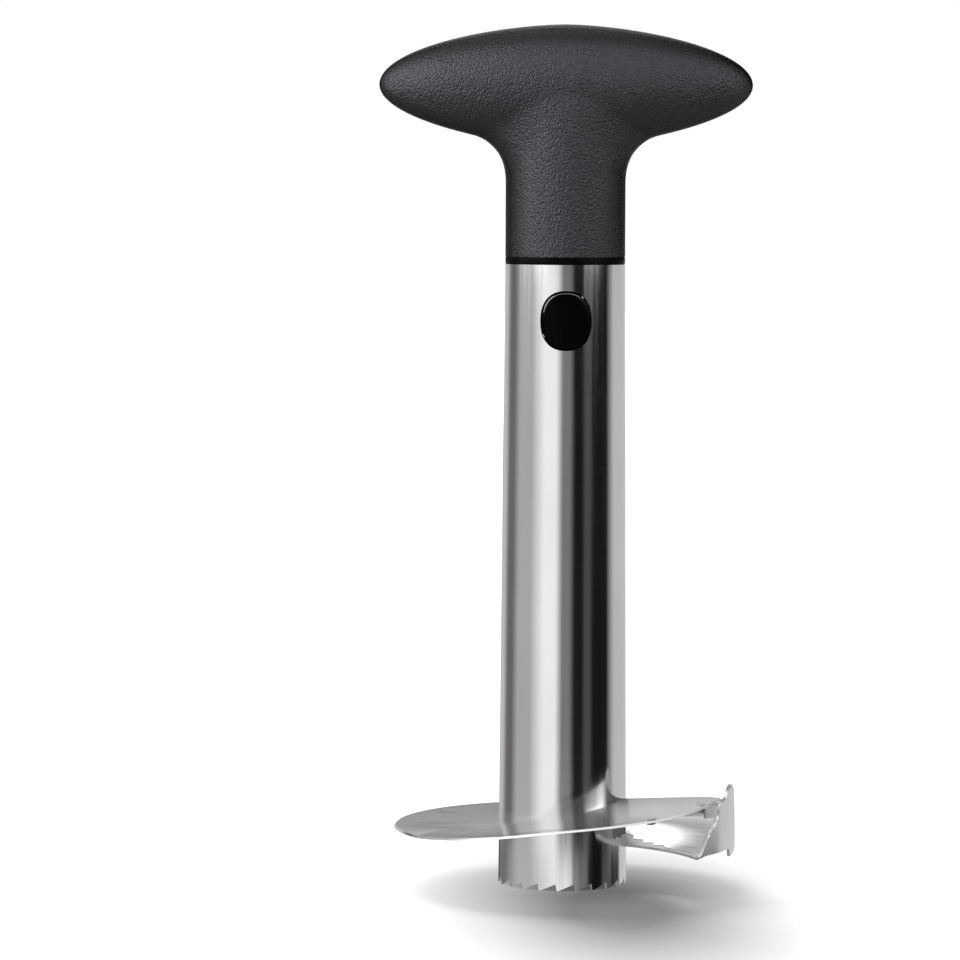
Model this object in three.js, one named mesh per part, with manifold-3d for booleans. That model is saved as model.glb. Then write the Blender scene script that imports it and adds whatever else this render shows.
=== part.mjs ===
// Pineapple slicer: a T-shaped grip on a steel core tube that carries a helical ring blade.
// Millimetres, +Z up. The origin lies on the tube's axis, at the level of the tooth tips.
// Angles round the axis start at the front (-Y) and grow towards the right (+X).
import * as THREE from 'three';
import { mergeVertices } from 'three/addons/utils/BufferGeometryUtils.js';
import Module from 'manifold-3d';

const wasm = await Module();
wasm.setup();

// Clearances and fine values
const fitGap = 0.3;
const overrun = 3;
const meshTolerance = 0.0002;
const shortestEdge = 0.03;
const searchSteps = 40;

// Heights: the tube reaches up to the collar under the grip
const gripTopZ = 240.2;
const barTopHalf = 16.8;
const barFootHalf = 17.6;
const neckLength = 30.1;
const collarHeight = 2.1;
const barAxisZ = gripTopZ - barTopHalf;
const barFootZ = barAxisZ - barFootHalf;
const neckFootZ = barFootZ - neckLength;
const tubeTopZ = neckFootZ - collarHeight;

// Core tube
const tubeFootRadius = 18;
const tubeTaper = 1.3;
const tubeTopRadius = tubeFootRadius - tubeTaper;
const tubeWall = 0.8;
const toothCount = 22;
const toothDepth = 1.9;
const toothTipFlat = 0.5;
const toothSteepRun = 0.7;
const toothTurn = -5.9;
const tubeSides = 66;

// Latch holes of the core tube, one in front and one behind
const latchHoleWidth = 14.2;
const latchHoleHeight = 16.5;
const latchHoleDrop = 15.4;
const latchHoleZ = tubeTopZ - latchHoleDrop;
const latchHoleSides = 14;

// Ring blade: one helical turn of sheet round the tube
const ringRadius = 47.4;
const ringSheet = 0.9;
const ringFlatZ = 16.1;
const rimRise = 10.3;
const rootRise = 7.9;
const flapEndAngle = 67;
const rimRiseStartAngle = -62;
const rootRiseStartAngle = -92;
const lipBendAngle = -248;
const lipRootAngle = -288;
const lipRimAngle = -310;
const lipDrop = 4.9;
const lipDropPower = 1.5;
const ringColumns = 74;
const ringRows = 3;
// How the rim climbs: share of the rising stretch, then share of the rise
const rimRiseShares = [
  [0, 0],
  [0.14, 0.085],
  [0.3, 0.255],
  [0.4, 0.39],
  [0.5, 0.5],
  [0.65, 0.625],
  [0.75, 0.705],
  [0.88, 0.85],
  [1, 1],
];

// Ground land along the cutting lip, with a stepped saw edge
const landSheet = 0.45;
const landRootDepth = 4.1;
const landStepDepth = 4.9;
const landMiddleDepth = 3.1;
const landRimDepth = 0.8;
const landToothCount = 4;
const landToothReachShare = 0.39;
const landMiddleReachShare = 0.78;
const landToothDepth = 1.2;
const landToothRun = 1.3;
const landColumns = 12;
const landOverShare = 0.02;

// Side blade on the rim, with a strap that runs under the flap
const sideSheet = 0.8;
const sideFootDrop = 4.4;
const sideHeelDrop = 6.7;
const sideTipRise = 13.5;
const sideFootZ = ringFlatZ - sideFootDrop;
const sideHeelZ = ringFlatZ - sideHeelDrop;
const sideTipZ = ringFlatZ + sideTipRise;
const sideFrontAngle = 49;
const sideHeelAngle = 73;
const sideHeelTurn = 1;
const sideHeelRise = 1.3;
const sideRearAngle = 88;
const sideTipAngle = 74.6;
const sideColumns = 26;
const strapSheet = 0.8;
const strapWidth = 3.7;
const strapFrontAngle = 28;
const strapJoinAngle = 62;
const strapRearAngle = 66.5;
const strapColumns = 12;
// Upper edge of the side blade: share of the way from front to tip, then share of the height
const sideEdgeShares = [
  [0, 0.02],
  [0.16, 0.19],
  [0.28, 0.38],
  [0.41, 0.48],
  [0.55, 0.77],
  [0.75, 0.83],
  [0.83, 0.94],
  [1, 1],
];
const sideRearTopAngle = 79.4;
const sideRearTopDrop = 1.8;

// Rivets through the flap and the strap
const rivetAngles = [31.5, 57];
const rivetInset = 2.1;
const rivetShankRadius = 0.9;
const rivetHeadRadius = 1.7;
const rivetHeadHeight = 0.75;
const rivetCrownShare = 0.7;
const rivetSides = 12;

// Shank plug: slides in the tube and carries the grip and both latches
const plugLength = 45.6;
const plugFootZ = tubeTopZ - plugLength;
const plugBodyRadius = tubeTopRadius - tubeWall - fitGap;
const plugWall = 3;
const plugBoreRadius = plugBodyRadius - plugWall;
const spigotShoulder = 2;
const spigotRadius = plugBodyRadius - spigotShoulder;
const spigotDrop = 5.8;
const spigotTopZ = barFootZ - spigotDrop;
const spigotFlatDepth = 5.6;
const spigotFlatHalf = spigotRadius - spigotFlatDepth;
const plugRoof = 16;
const plugBoreTopZ = spigotTopZ - plugRoof;
const plugWindowMargin = 1.5;
const plugWindowWidth = latchHoleWidth + plugWindowMargin;
const plugWindowFootZ = latchHoleZ - latchHoleHeight / 2 - plugWindowMargin;
const plugWindowTopZ = latchHoleZ + latchHoleHeight / 2 + plugWindowMargin;
const plugWindowCornerRadius = 4;
const plugWindowCornerSides = 4;
const plugSides = 48;

// Cap that closes the foot of the plug
const capPlate = 1.6;
const capSpigotHeight = 4;
const capSpigotWall = 1.6;

// Latches: spring arms with an oval button
const latchArmMargin = 2.6;
const latchArmWidth = latchHoleWidth - 2 * latchArmMargin;
const latchArmThickness = 1.6;
const latchArmFootDrop = 7.2;
const latchArmFootZ = latchHoleZ - latchArmFootDrop;
const latchArmTopDrop = 2;
const latchArmTopZ = spigotTopZ - latchArmTopDrop;
const latchHeadClearance = 0.35;
const latchHeadProud = 0.45;
const latchHeadRim = 0.8;
const latchScrewDrop = 5;
const latchScrewZ = spigotTopZ - latchScrewDrop;
const latchScrewShankRadius = 1.1;
const latchScrewHeadRadius = 2.2;
const latchScrewHeadHeight = 1.3;
const latchScrewReach = 4.4;

// Retaining pin through the spigot, held in the parting plane of the grip
const pinRadius = 2;
const pinCover = 1.6;
const pinLength = 2 * (tubeTopRadius - pinCover);
const pinDrop = 10.5;
const pinZ = spigotTopZ - pinDrop;

// Grip: a bar across the top that runs down into a neck
const barLength = 104;
const barHalfDepth = 16.4;
const neckRadius = tubeTopRadius;
const neckShrinkBelow = 12.4;
const neckShrinkAbove = 12.6;
const neckShrinkStartZ = barAxisZ - neckShrinkBelow;
const neckShrinkEndZ = barAxisZ + neckShrinkAbove;
const neckShrink = 24;
const neckBlendLow = 11;
const neckBlendHigh = 3;
const neckBlendFront = 3;
const neckBlendLowDrop = 17.4;
const neckBlendHighDrop = 4.4;
const neckBlendLowZ = barAxisZ - neckBlendLowDrop;
const neckBlendHighZ = barAxisZ - neckBlendHighDrop;
const gripWall = 2.6;
const gripLevelsAbove = 9;
const gripLevelsBelow = 11;
const gripLevelsNeck = 2;
const gripSides = 44;
const gripCrownShare = 0.75;
const cavityLevels = 10;
const cavitySides = 20;
const barTopPower = 1.66;
const barFootPower = 1.42;
const barDepthPower = 1.7;
const barTipShare = 0.03;

// Screws that hold the two halves of the grip together, put in from behind
const gripScrewSpread = 25;
const gripScrewLift = 2.6;
const gripScrewPlaces = {
  left: [-gripScrewSpread, barAxisZ],
  right: [gripScrewSpread, barAxisZ],
  middle: [0, barAxisZ + gripScrewLift],
};
const gripScrewShankRadius = 1.5;
const gripScrewHeadRadius = 2.9;
const gripScrewHeadHeight = 2;
const gripBossWall = 1.2;
const gripBossRadius = gripScrewHeadRadius + fitGap + gripBossWall;
const gripScrewReach = 7;
const gripScrewHeadDepth = 7;
const screwSides = 18;

const steel = new THREE.MeshStandardMaterial({ color: '#b9b9b6', roughness: 0.22, metalness: 1 });
const bladeSteel = new THREE.MeshStandardMaterial({ color: '#c6c7c8', roughness: 0.3, metalness: 1 });
const fastenerSteel = new THREE.MeshStandardMaterial({ color: '#9a9a98', roughness: 0.4, metalness: 1 });
const gripPlastic = new THREE.MeshStandardMaterial({ color: '#3a3a3e', roughness: 0.6, metalness: 0 });
const shankPlastic = new THREE.MeshStandardMaterial({ color: '#17171a', roughness: 0.35, metalness: 0 });
const buttonPlastic = new THREE.MeshStandardMaterial({ color: '#0a0a0b', roughness: 0.12, metalness: 0 });

// Closed bodies

// Turns any closed geometry into a solid, whichever way its faces point.
function solidFrom(geometry) {
  const bare = geometry.clone();
  bare.deleteAttribute('normal');
  bare.deleteAttribute('uv');
  const merged = mergeVertices(bare, meshTolerance);
  const points = merged.attributes.position.array;
  const faces = new Uint32Array(merged.index.array);
  const corner = (n) => new THREE.Vector3().fromArray(points, 3 * n);
  let volume = 0;
  for (let i = 0; i < faces.length; i += 3) {
    const side = corner(faces[i]).cross(corner(faces[i + 1]));
    volume += side.dot(corner(faces[i + 2]));
  }
  if (volume < 0) {
    for (let i = 0; i < faces.length; i += 3) {
      [faces[i], faces[i + 1]] = [faces[i + 1], faces[i]];
    }
  }
  const whole = [];
  for (let i = 0; i < faces.length; i += 3) {
    const [a, b, c] = faces.slice(i, i + 3);
    if (a !== b && b !== c && c !== a) whole.push(a, b, c);
  }
  const mesh = new wasm.Mesh({ numProp: 3, vertProperties: points, triVerts: new Uint32Array(whole) });
  return new wasm.Manifold(mesh);
}

function geometryFrom(solid) {
  const mesh = solid.getMesh();
  const geometry = new THREE.BufferGeometry();
  geometry.setAttribute('position', new THREE.BufferAttribute(new Float32Array(mesh.vertProperties), 3));
  geometry.setIndex(new THREE.BufferAttribute(new Uint32Array(mesh.triVerts), 1));
  geometry.computeVertexNormals();
  return geometry;
}

// Closes up edges too short to matter, which cuts leave behind.
function welded(geometry) {
  const points = geometry.attributes.position;
  const corner = (n) => new THREE.Vector3().fromBufferAttribute(points, n);
  const stand = Array.from({ length: points.count }, (_, n) => n);
  const find = (n) => (stand[n] === n ? n : find(stand[n]));
  const index = geometry.index.array;
  for (let i = 0; i < index.length; i += 3) {
    for (let k = 0; k < 3; k += 1) {
      const [a, b] = [find(index[i + k]), find(index[i + ((k + 1) % 3)])];
      const isShort = corner(a).distanceTo(corner(b)) < shortestEdge;
      if (a !== b && isShort) stand[Math.max(a, b)] = Math.min(a, b);
    }
  }
  const kept = [];
  for (let i = 0; i < index.length; i += 3) {
    const [a, b, c] = [find(index[i]), find(index[i + 1]), find(index[i + 2])];
    if (a !== b && b !== c && c !== a) kept.push(a, b, c);
  }
  const whole = new THREE.BufferGeometry();
  whole.setAttribute('position', points.clone());
  whole.setIndex(kept);
  return geometryFrom(solidFrom(whole));
}

// A turned body round +Z from [radius, height] pairs.
function turned(profile, sides) {
  const points = profile.map(([radius, z]) => new THREE.Vector2(radius, z));
  return new THREE.LatheGeometry([...points, points[0].clone()], sides).rotateX(Math.PI / 2);
}

function cylinder(radius, lowZ, highZ, sides) {
  return turned([[0, lowZ], [radius, lowZ], [radius, highZ], [0, highZ]], sides);
}

// A box between two corners.
function box(low, high) {
  const size = high.clone().sub(low);
  const middle = high.clone().add(low).multiplyScalar(0.5);
  return new THREE.BoxGeometry(size.x, size.y, size.z).translate(middle.x, middle.y, middle.z);
}

// A bent sheet: pointAt(across, along, side) gives its corners, with side 0 below and 1 above.
function sheet(columns, rows, pointAt) {
  const positions = [];
  const indices = [];
  const at = (i, j, side) => (i * (rows + 1) + j) * 2 + side;
  const quad = (a, b, c, d) => indices.push(a, b, c, a, c, d);
  for (let i = 0; i <= columns; i += 1) {
    for (let j = 0; j <= rows; j += 1) {
      positions.push(...pointAt(i / columns, j / rows, 0).toArray());
      positions.push(...pointAt(i / columns, j / rows, 1).toArray());
    }
  }
  for (let i = 0; i < columns; i += 1) {
    for (let j = 0; j < rows; j += 1) {
      quad(at(i, j, 1), at(i + 1, j, 1), at(i + 1, j + 1, 1), at(i, j + 1, 1));
      quad(at(i, j, 0), at(i, j + 1, 0), at(i + 1, j + 1, 0), at(i + 1, j, 0));
    }
    quad(at(i, 0, 0), at(i + 1, 0, 0), at(i + 1, 0, 1), at(i, 0, 1));
    quad(at(i, rows, 0), at(i, rows, 1), at(i + 1, rows, 1), at(i + 1, rows, 0));
  }
  for (let j = 0; j < rows; j += 1) {
    quad(at(0, j, 0), at(0, j, 1), at(0, j + 1, 1), at(0, j + 1, 0));
    quad(at(columns, j, 0), at(columns, j + 1, 0), at(columns, j + 1, 1), at(columns, j, 1));
  }
  const geometry = new THREE.BufferGeometry();
  geometry.setAttribute('position', new THREE.Float32BufferAttribute(positions, 3));
  geometry.setIndex(indices);
  return geometry;
}

// A body through stacked rings of points, closed with a point at the middle of each end ring.
function stacked(rings) {
  const positions = [];
  const indices = [];
  const count = rings[0].length;
  rings.forEach((ring) => ring.forEach((point) => positions.push(...point.toArray())));
  for (let k = 0; k < rings.length - 1; k += 1) {
    for (let i = 0; i < count; i += 1) {
      const [a, b] = [k * count + i, k * count + (i + 1) % count];
      indices.push(a, b, b + count, a, b + count, a + count);
    }
  }
  [0, rings.length - 1].forEach((k) => {
    const middle = rings[k].reduce((sum, point) => sum.add(point), new THREE.Vector3());
    positions.push(...middle.divideScalar(count).toArray());
    const tip = positions.length / 3 - 1;
    for (let i = 0; i < count; i += 1) {
      const [a, b] = [k * count + i, k * count + (i + 1) % count];
      indices.push(...(k === 0 ? [b, a, tip] : [a, b, tip]));
    }
  });
  const geometry = new THREE.BufferGeometry();
  geometry.setAttribute('position', new THREE.Float32BufferAttribute(positions, 3));
  geometry.setIndex(indices);
  return geometry;
}

// Small sums

const radians = (degrees) => THREE.MathUtils.degToRad(degrees);
const mix = THREE.MathUtils.lerp;
const ease = THREE.MathUtils.smoothstep;

function shareAt(shares, place) {
  const next = Math.max(1, shares.findIndex(([from]) => from >= place));
  const [low, high] = [shares[next - 1], shares[next]];
  return mix(low[1], high[1], (place - low[0]) / (high[0] - low[0]));
}

function polar(radius, degrees, z) {
  return new THREE.Vector3(radius * Math.sin(radians(degrees)), -radius * Math.cos(radians(degrees)), z);
}

function tubeRadius(z) {
  return mix(tubeFootRadius, tubeTopRadius, z / tubeTopZ);
}

// Core tube

// One gullet between two teeth: steep on the side that leads, gentle on the other.
function gullet(degrees) {
  const half = tubeFootRadius * Math.sin(Math.PI / toothCount);
  const outline = new THREE.Shape([
    new THREE.Vector2(toothTipFlat - half, -overrun),
    new THREE.Vector2(half, -overrun),
    new THREE.Vector2(half, 0),
    new THREE.Vector2(half - toothSteepRun, toothDepth),
    new THREE.Vector2(toothTipFlat - half, 0),
  ]);
  const cut = new THREE.ExtrudeGeometry(outline, { depth: tubeWall + 2 * overrun, bevelEnabled: false });
  cut.translate(0, 0, tubeFootRadius - tubeWall - overrun);
  const across = new THREE.Vector3(Math.cos(radians(degrees)), Math.sin(radians(degrees)), 0);
  const frame = new THREE.Matrix4().makeBasis(across, new THREE.Vector3(0, 0, 1), polar(1, degrees, 0));
  return solidFrom(cut.applyMatrix4(frame));
}

// An upright oval prism that runs out from the axis, towards the front or the rear.
function ovalPrism(width, height, z, near, far, isRear) {
  const outline = new THREE.Shape();
  outline.absellipse(0, 0, width / 2, height / 2, 0, 2 * Math.PI);
  const options = { depth: far - near, bevelEnabled: false, curveSegments: latchHoleSides };
  const prism = new THREE.ExtrudeGeometry(outline, options).rotateX(Math.PI / 2).translate(0, -near, z);
  return isRear ? prism.rotateZ(Math.PI) : prism;
}

function coreTube() {
  const wallAt = (z, side) => [tubeRadius(z) - side * tubeWall, z];
  const profile = [wallAt(0, 1), wallAt(0, 0), wallAt(tubeTopZ, 0), wallAt(tubeTopZ, 1)];
  const halfFacet = Math.PI / tubeSides;
  let tube = solidFrom(turned(profile, tubeSides).rotateZ(halfFacet + radians(toothTurn)));
  for (let i = 0; i < toothCount; i += 1) {
    tube = tube.subtract(gullet(toothTurn + ((i + 0.5) * 360) / toothCount));
  }
  const reach = tubeFootRadius + overrun;
  [false, true].forEach((isRear) => {
    const hole = ovalPrism(latchHoleWidth, latchHoleHeight, latchHoleZ, tubeTopRadius / 2, reach, isRear);
    tube = tube.subtract(solidFrom(hole));
  });
  return tube;
}

// Ring blade

// Height of the sheet's middle above its flat stretch, at a share of the way from tube to rim.
function ringHeight(degrees, share) {
  if (degrees < lipBendAngle) {
    const lipEnd = mix(lipRootAngle, lipRimAngle, share);
    const down = Math.max(0, (lipBendAngle - degrees) / (lipBendAngle - lipEnd));
    return ringFlatZ - lipDrop * down ** lipDropPower;
  }
  const rimPlace = (degrees - rimRiseStartAngle) / (flapEndAngle - rimRiseStartAngle);
  const rootPlace = (degrees - rootRiseStartAngle) / (flapEndAngle - rootRiseStartAngle);
  const rim = rimRise * shareAt(rimRiseShares, Math.min(Math.max(rimPlace, 0), 1));
  const root = rootRise * Math.min(Math.max(rootPlace, 0), 1);
  return ringFlatZ + mix(root, rim, share);
}

// A point of the ring at a share of its turn, a share of its width and a height off its middle.
function ringPoint(turnShare, widthShare, lift) {
  const lipEnd = mix(lipRootAngle, lipRimAngle, widthShare);
  const straight = mix(lipRootAngle, flapEndAngle, turnShare);
  const fromBend = (lipBendAngle - straight) / (lipBendAngle - lipRootAngle);
  const degrees = straight + (lipEnd - lipRootAngle) * Math.max(0, fromBend);
  const z = ringHeight(degrees, widthShare);
  const radius = mix(tubeRadius(z) + fitGap, ringRadius, widthShare);
  return polar(radius, degrees, z + lift);
}

// The band of sheet that the stepped grinding takes off the top of the lip.
function landCut() {
  const lowLift = landSheet - ringSheet / 2;
  const liftAt = (side) => (side === 0 ? lowLift : lowLift + overrun);
  const lipShare = (lipBendAngle - lipRootAngle) / (flapEndAngle - lipRootAngle);
  const band = sheet(landColumns, ringRows, (u, v, side) => {
    const widthShare = mix(-landOverShare, 1 + landOverShare, v);
    return ringPoint(u * lipShare, widthShare, liftAt(side));
  });
  const root = ringPoint(0, 0, 0);
  const rim = ringPoint(0, 1, 0);
  const along = rim.clone().sub(root).setZ(0);
  const length = along.length();
  along.normalize();
  const back = new THREE.Vector3(-along.y, along.x, 0);
  const place = (reach, depth) => {
    const point = root.clone().addScaledVector(along, reach).addScaledVector(back, depth);
    return new THREE.Vector2(point.x, point.y);
  };
  const outline = [place(-overrun, -overrun), place(length + overrun, -overrun)];
  outline.push(place(length + overrun, landRimDepth), place(length, landRimDepth));
  outline.push(place(length * landMiddleReachShare, landMiddleDepth));
  for (let i = landToothCount - 1; i >= 0; i -= 1) {
    const share = i / (landToothCount - 1);
    const reach = length * landToothReachShare * share;
    const depth = mix(landRootDepth, landStepDepth, share);
    outline.push(place(reach + landToothRun, depth - landToothDepth));
    outline.push(place(reach, depth));
  }
  outline.push(place(-overrun, landRootDepth - landToothDepth));
  const options = { depth: 2 * ringFlatZ, bevelEnabled: false };
  const prism = new THREE.ExtrudeGeometry(new THREE.Shape(outline), options);
  return solidFrom(band).intersect(solidFrom(prism));
}

function rivetSeat(degrees) {
  const share = 1 - rivetInset / (ringRadius - tubeFootRadius);
  const turnAt = (angle) => (angle - lipRootAngle) / (flapEndAngle - lipRootAngle);
  const place = ringPoint(turnAt(degrees), share, 0);
  const ahead = ringPoint(turnAt(degrees + 1), share, 0).sub(place);
  const outward = ringPoint(turnAt(degrees), 1, 0).sub(place);
  const up = outward.clone().cross(ahead).normalize();
  return { place, turn: new THREE.Quaternion().setFromUnitVectors(new THREE.Vector3(0, 0, 1), up) };
}

function seated(geometry, seat) {
  return geometry.applyQuaternion(seat.turn).translate(seat.place.x, seat.place.y, seat.place.z);
}

function rivetHole(degrees) {
  const reach = 2 * rivetHeadRadius;
  const hole = cylinder(rivetShankRadius + fitGap, -reach, reach, rivetSides);
  return solidFrom(seated(hole, rivetSeat(degrees)));
}

function ringBlade() {
  const liftAt = (side) => (side - 0.5) * ringSheet;
  const turn = sheet(ringColumns, ringRows, (u, v, side) => ringPoint(u, v, liftAt(side)));
  let blade = solidFrom(turn).subtract(landCut());
  rivetAngles.forEach((degrees) => {
    blade = blade.subtract(rivetHole(degrees));
  });
  return blade;
}

function flapRivet(degrees) {
  const above = ringSheet / 2 + fitGap;
  const below = -ringSheet / 2 - fitGap - strapSheet - fitGap;
  const shoulder = rivetCrownShare * rivetHeadRadius;
  const profile = [
    [0, below - rivetHeadHeight],
    [shoulder, below - rivetHeadHeight],
    [rivetHeadRadius, below],
    [rivetShankRadius, below],
    [rivetShankRadius, above],
    [rivetHeadRadius, above],
    [shoulder, above + rivetHeadHeight],
    [0, above + rivetHeadHeight],
  ];
  return solidFrom(seated(turned(profile, rivetSides), rivetSeat(degrees)));
}

// Side blade

function sideBlade() {
  const inner = ringRadius + fitGap;
  const tipHeight = sideTipZ - sideFootZ;
  const upperAt = (degrees) => {
    if (degrees > sideRearTopAngle) {
      const back = (degrees - sideRearTopAngle) / (sideRearAngle - sideRearTopAngle);
      return mix(sideTipZ - sideRearTopDrop, sideHeelZ + sideHeelRise + ringSheet, back);
    }
    if (degrees > sideTipAngle) {
      return sideTipZ - (sideRearTopDrop * (degrees - sideTipAngle)) / (sideRearTopAngle - sideTipAngle);
    }
    const place = (degrees - sideFrontAngle) / (sideTipAngle - sideFrontAngle);
    return sideFootZ + tipHeight * shareAt(sideEdgeShares, place);
  };
  const lowerAt = (degrees) => {
    const turn = ease(degrees, sideHeelAngle - sideHeelTurn, sideHeelAngle);
    const back = Math.max(degrees - sideHeelAngle, 0) / (sideRearAngle - sideHeelAngle);
    return mix(sideFootZ, sideHeelZ + sideHeelRise * back, turn);
  };
  const plate = sheet(sideColumns, 1, (u, v, side) => {
    const degrees = mix(sideFrontAngle, sideRearAngle, u);
    return polar(inner + side * sideSheet, degrees, v === 0 ? lowerAt(degrees) : upperAt(degrees));
  });
  const strapTop = -ringSheet / 2 - fitGap;
  const turnAt = (angle) => (angle - lipRootAngle) / (flapEndAngle - lipRootAngle);
  const widthShare = 1 - strapWidth / (ringRadius - tubeFootRadius);
  const reachShare = 1 + (fitGap + sideSheet / 2) / (ringRadius - tubeFootRadius);
  const strap = sheet(strapColumns, 1, (u, v, side) => {
    const degrees = mix(strapFrontAngle, strapRearAngle, u);
    const share = mix(widthShare, degrees > strapJoinAngle ? reachShare : 1, v);
    return ringPoint(turnAt(degrees), share, strapTop - (1 - side) * strapSheet);
  });
  let blade = solidFrom(plate).add(solidFrom(strap));
  rivetAngles.forEach((degrees) => {
    blade = blade.subtract(rivetHole(degrees));
  });
  return blade;
}

// Shank plug

function shankPlug() {
  const profile = [
    [plugBoreRadius, plugFootZ],
    [plugBodyRadius, plugFootZ],
    [plugBodyRadius, tubeTopZ],
    [tubeTopRadius, tubeTopZ],
    [tubeTopRadius, neckFootZ],
    [spigotRadius, neckFootZ],
    [spigotRadius, spigotTopZ],
    [0, spigotTopZ],
    [0, plugBoreTopZ],
    [plugBoreRadius, plugBoreTopZ],
  ];
  let plug = solidFrom(turned(profile, plugSides));
  [false, true].forEach((isRear) => {
    const low = new THREE.Vector3(-spigotRadius - overrun, -spigotRadius - overrun, plugBoreTopZ);
    const high = new THREE.Vector3(spigotRadius + overrun, -spigotFlatHalf, spigotTopZ + overrun);
    const flat = box(low, high);
    const screwHole = cylinder(latchScrewShankRadius + fitGap, 0, spigotFlatHalf, screwSides)
      .rotateX(Math.PI / 2)
      .translate(0, latchScrewReach + fitGap - spigotFlatHalf, latchScrewZ);
    const window = plugWindow();
    [flat, screwHole, window].forEach((cut) => {
      plug = plug.subtract(solidFrom(isRear ? cut.rotateZ(Math.PI) : cut));
    });
  });
  const bore = cylinder(pinRadius + fitGap, -spigotRadius - overrun, spigotRadius + overrun, screwSides);
  return plug.subtract(solidFrom(bore.rotateY(Math.PI / 2).translate(0, 0, pinZ)));
}

// The round-cornered opening in the plug's wall through which a button comes out.
function plugWindow() {
  const [half, low, high] = [plugWindowWidth / 2, plugWindowFootZ, plugWindowTopZ];
  const round = plugWindowCornerRadius;
  const outline = new THREE.Shape();
  outline.moveTo(-half + round, low);
  outline.lineTo(half - round, low);
  outline.quadraticCurveTo(half, low, half, low + round);
  outline.lineTo(half, high - round);
  outline.quadraticCurveTo(half, high, half - round, high);
  outline.lineTo(-half + round, high);
  outline.quadraticCurveTo(-half, high, -half, high - round);
  outline.lineTo(-half, low + round);
  outline.quadraticCurveTo(-half, low, -half + round, low);
  const depth = tubeTopRadius - spigotFlatHalf + overrun;
  const options = { depth, bevelEnabled: false, curveSegments: plugWindowCornerSides };
  const prism = new THREE.ExtrudeGeometry(outline, options);
  return prism.rotateX(Math.PI / 2).translate(0, -spigotFlatHalf, 0);
}

function plugEndCap() {
  const spigot = plugBoreRadius - fitGap;
  const profile = [
    [0, plugFootZ - capPlate],
    [plugBodyRadius, plugFootZ - capPlate],
    [plugBodyRadius, plugFootZ],
    [spigot, plugFootZ],
    [spigot, plugFootZ + capSpigotHeight],
    [spigot - capSpigotWall, plugFootZ + capSpigotHeight],
    [spigot - capSpigotWall, plugFootZ],
    [0, plugFootZ],
  ];
  return solidFrom(turned(profile, plugSides));
}

// Latches

function latch(isRear) {
  const armLow = new THREE.Vector3(-latchArmWidth / 2, -spigotFlatHalf - latchArmThickness, latchArmFootZ);
  const armHigh = new THREE.Vector3(latchArmWidth / 2, -spigotFlatHalf, latchArmTopZ);
  const headWidth = latchHoleWidth - 2 * latchHeadClearance;
  const headHeight = latchHoleHeight - 2 * latchHeadClearance;
  const reach = tubeFootRadius + overrun;
  const face = tubeRadius(latchHoleZ) + latchHeadProud;
  const near = spigotFlatHalf + latchArmThickness / 2;
  const [lowZ, highZ] = [latchHoleZ - headHeight, latchHoleZ + headHeight];
  const edgeFace = cylinder(face - latchHeadRim / 2, lowZ, highZ, tubeSides);
  const topFace = cylinder(face, lowZ, highZ, tubeSides);
  const crownWidth = headWidth - 2 * latchHeadRim;
  const crownHeight = headHeight - 2 * latchHeadRim;
  const stem = solidFrom(ovalPrism(headWidth, headHeight, latchHoleZ, near, reach, false));
  const crown = solidFrom(ovalPrism(crownWidth, crownHeight, latchHoleZ, near, reach, false));
  const screwHole = cylinder(latchScrewShankRadius + fitGap, 0, 2 * spigotFlatHalf, screwSides)
    .rotateX(Math.PI / 2)
    .translate(0, 0, latchScrewZ);
  const whole = solidFrom(box(armLow, armHigh))
    .add(stem.intersect(solidFrom(edgeFace)))
    .add(crown.intersect(solidFrom(topFace)))
    .subtract(solidFrom(screwHole));
  return isRear ? solidFrom(geometryFrom(whole).rotateZ(Math.PI)) : whole;
}

function latchScrew(isRear) {
  const seat = spigotFlatHalf + latchArmThickness + fitGap;
  const profile = [
    [0, spigotFlatHalf - latchScrewReach],
    [latchScrewShankRadius, spigotFlatHalf - latchScrewReach],
    [latchScrewShankRadius, seat],
    [latchScrewHeadRadius, seat],
    [latchScrewHeadRadius, seat + latchScrewHeadHeight],
    [0, seat + latchScrewHeadHeight],
  ];
  const screw = turned(profile, screwSides).rotateX(Math.PI / 2).translate(0, 0, latchScrewZ);
  return solidFrom(isRear ? screw.rotateZ(Math.PI) : screw);
}

// Retaining pin

function retainingPin() {
  const pin = cylinder(pinRadius, -pinLength / 2, pinLength / 2, screwSides);
  return solidFrom(pin.rotateY(Math.PI / 2).translate(0, 0, pinZ));
}

// Grip

// How far a point lies outside the bar, roughly: below zero inside.
function barReach(x, y, z) {
  const place = Math.abs(x) / (barLength / 2);
  if (place >= 1) return Math.abs(x) - barLength / 2;
  const isAbove = z > barAxisZ;
  const half = isAbove ? barTopHalf : barFootHalf;
  const power = isAbove ? barTopPower : barFootPower;
  const halfHeight = half * Math.max(Math.sqrt(1 - place ** power), barTipShare);
  const halfDepth = barHalfDepth * Math.max(Math.sqrt(1 - place ** barDepthPower), barTipShare);
  const share = Math.hypot(y / halfDepth, (z - barAxisZ) / halfHeight);
  return (share - 1) * Math.min(halfHeight, halfDepth);
}

// How far a point lies outside the grip, with the neck blended into the bar.
function gripReach(x, y, z) {
  const bar = barReach(x, y, z);
  const shrink = neckShrink * ease(z, neckShrinkStartZ, neckShrinkEndZ) ** 2;
  const radius = Math.hypot(x, y);
  const neck = radius - neckRadius + shrink;
  const sideways = radius > 0 ? (x / radius) ** 2 : 1;
  const sideBlend = mix(neckBlendLow, neckBlendHigh, ease(z, neckBlendLowZ, neckBlendHighZ));
  const blend = mix(neckBlendFront, sideBlend, sideways);
  const near = Math.max(blend - Math.abs(bar - neck), 0) / blend;
  return Math.min(bar, neck) - (near * near * blend) / 4;
}

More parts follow.
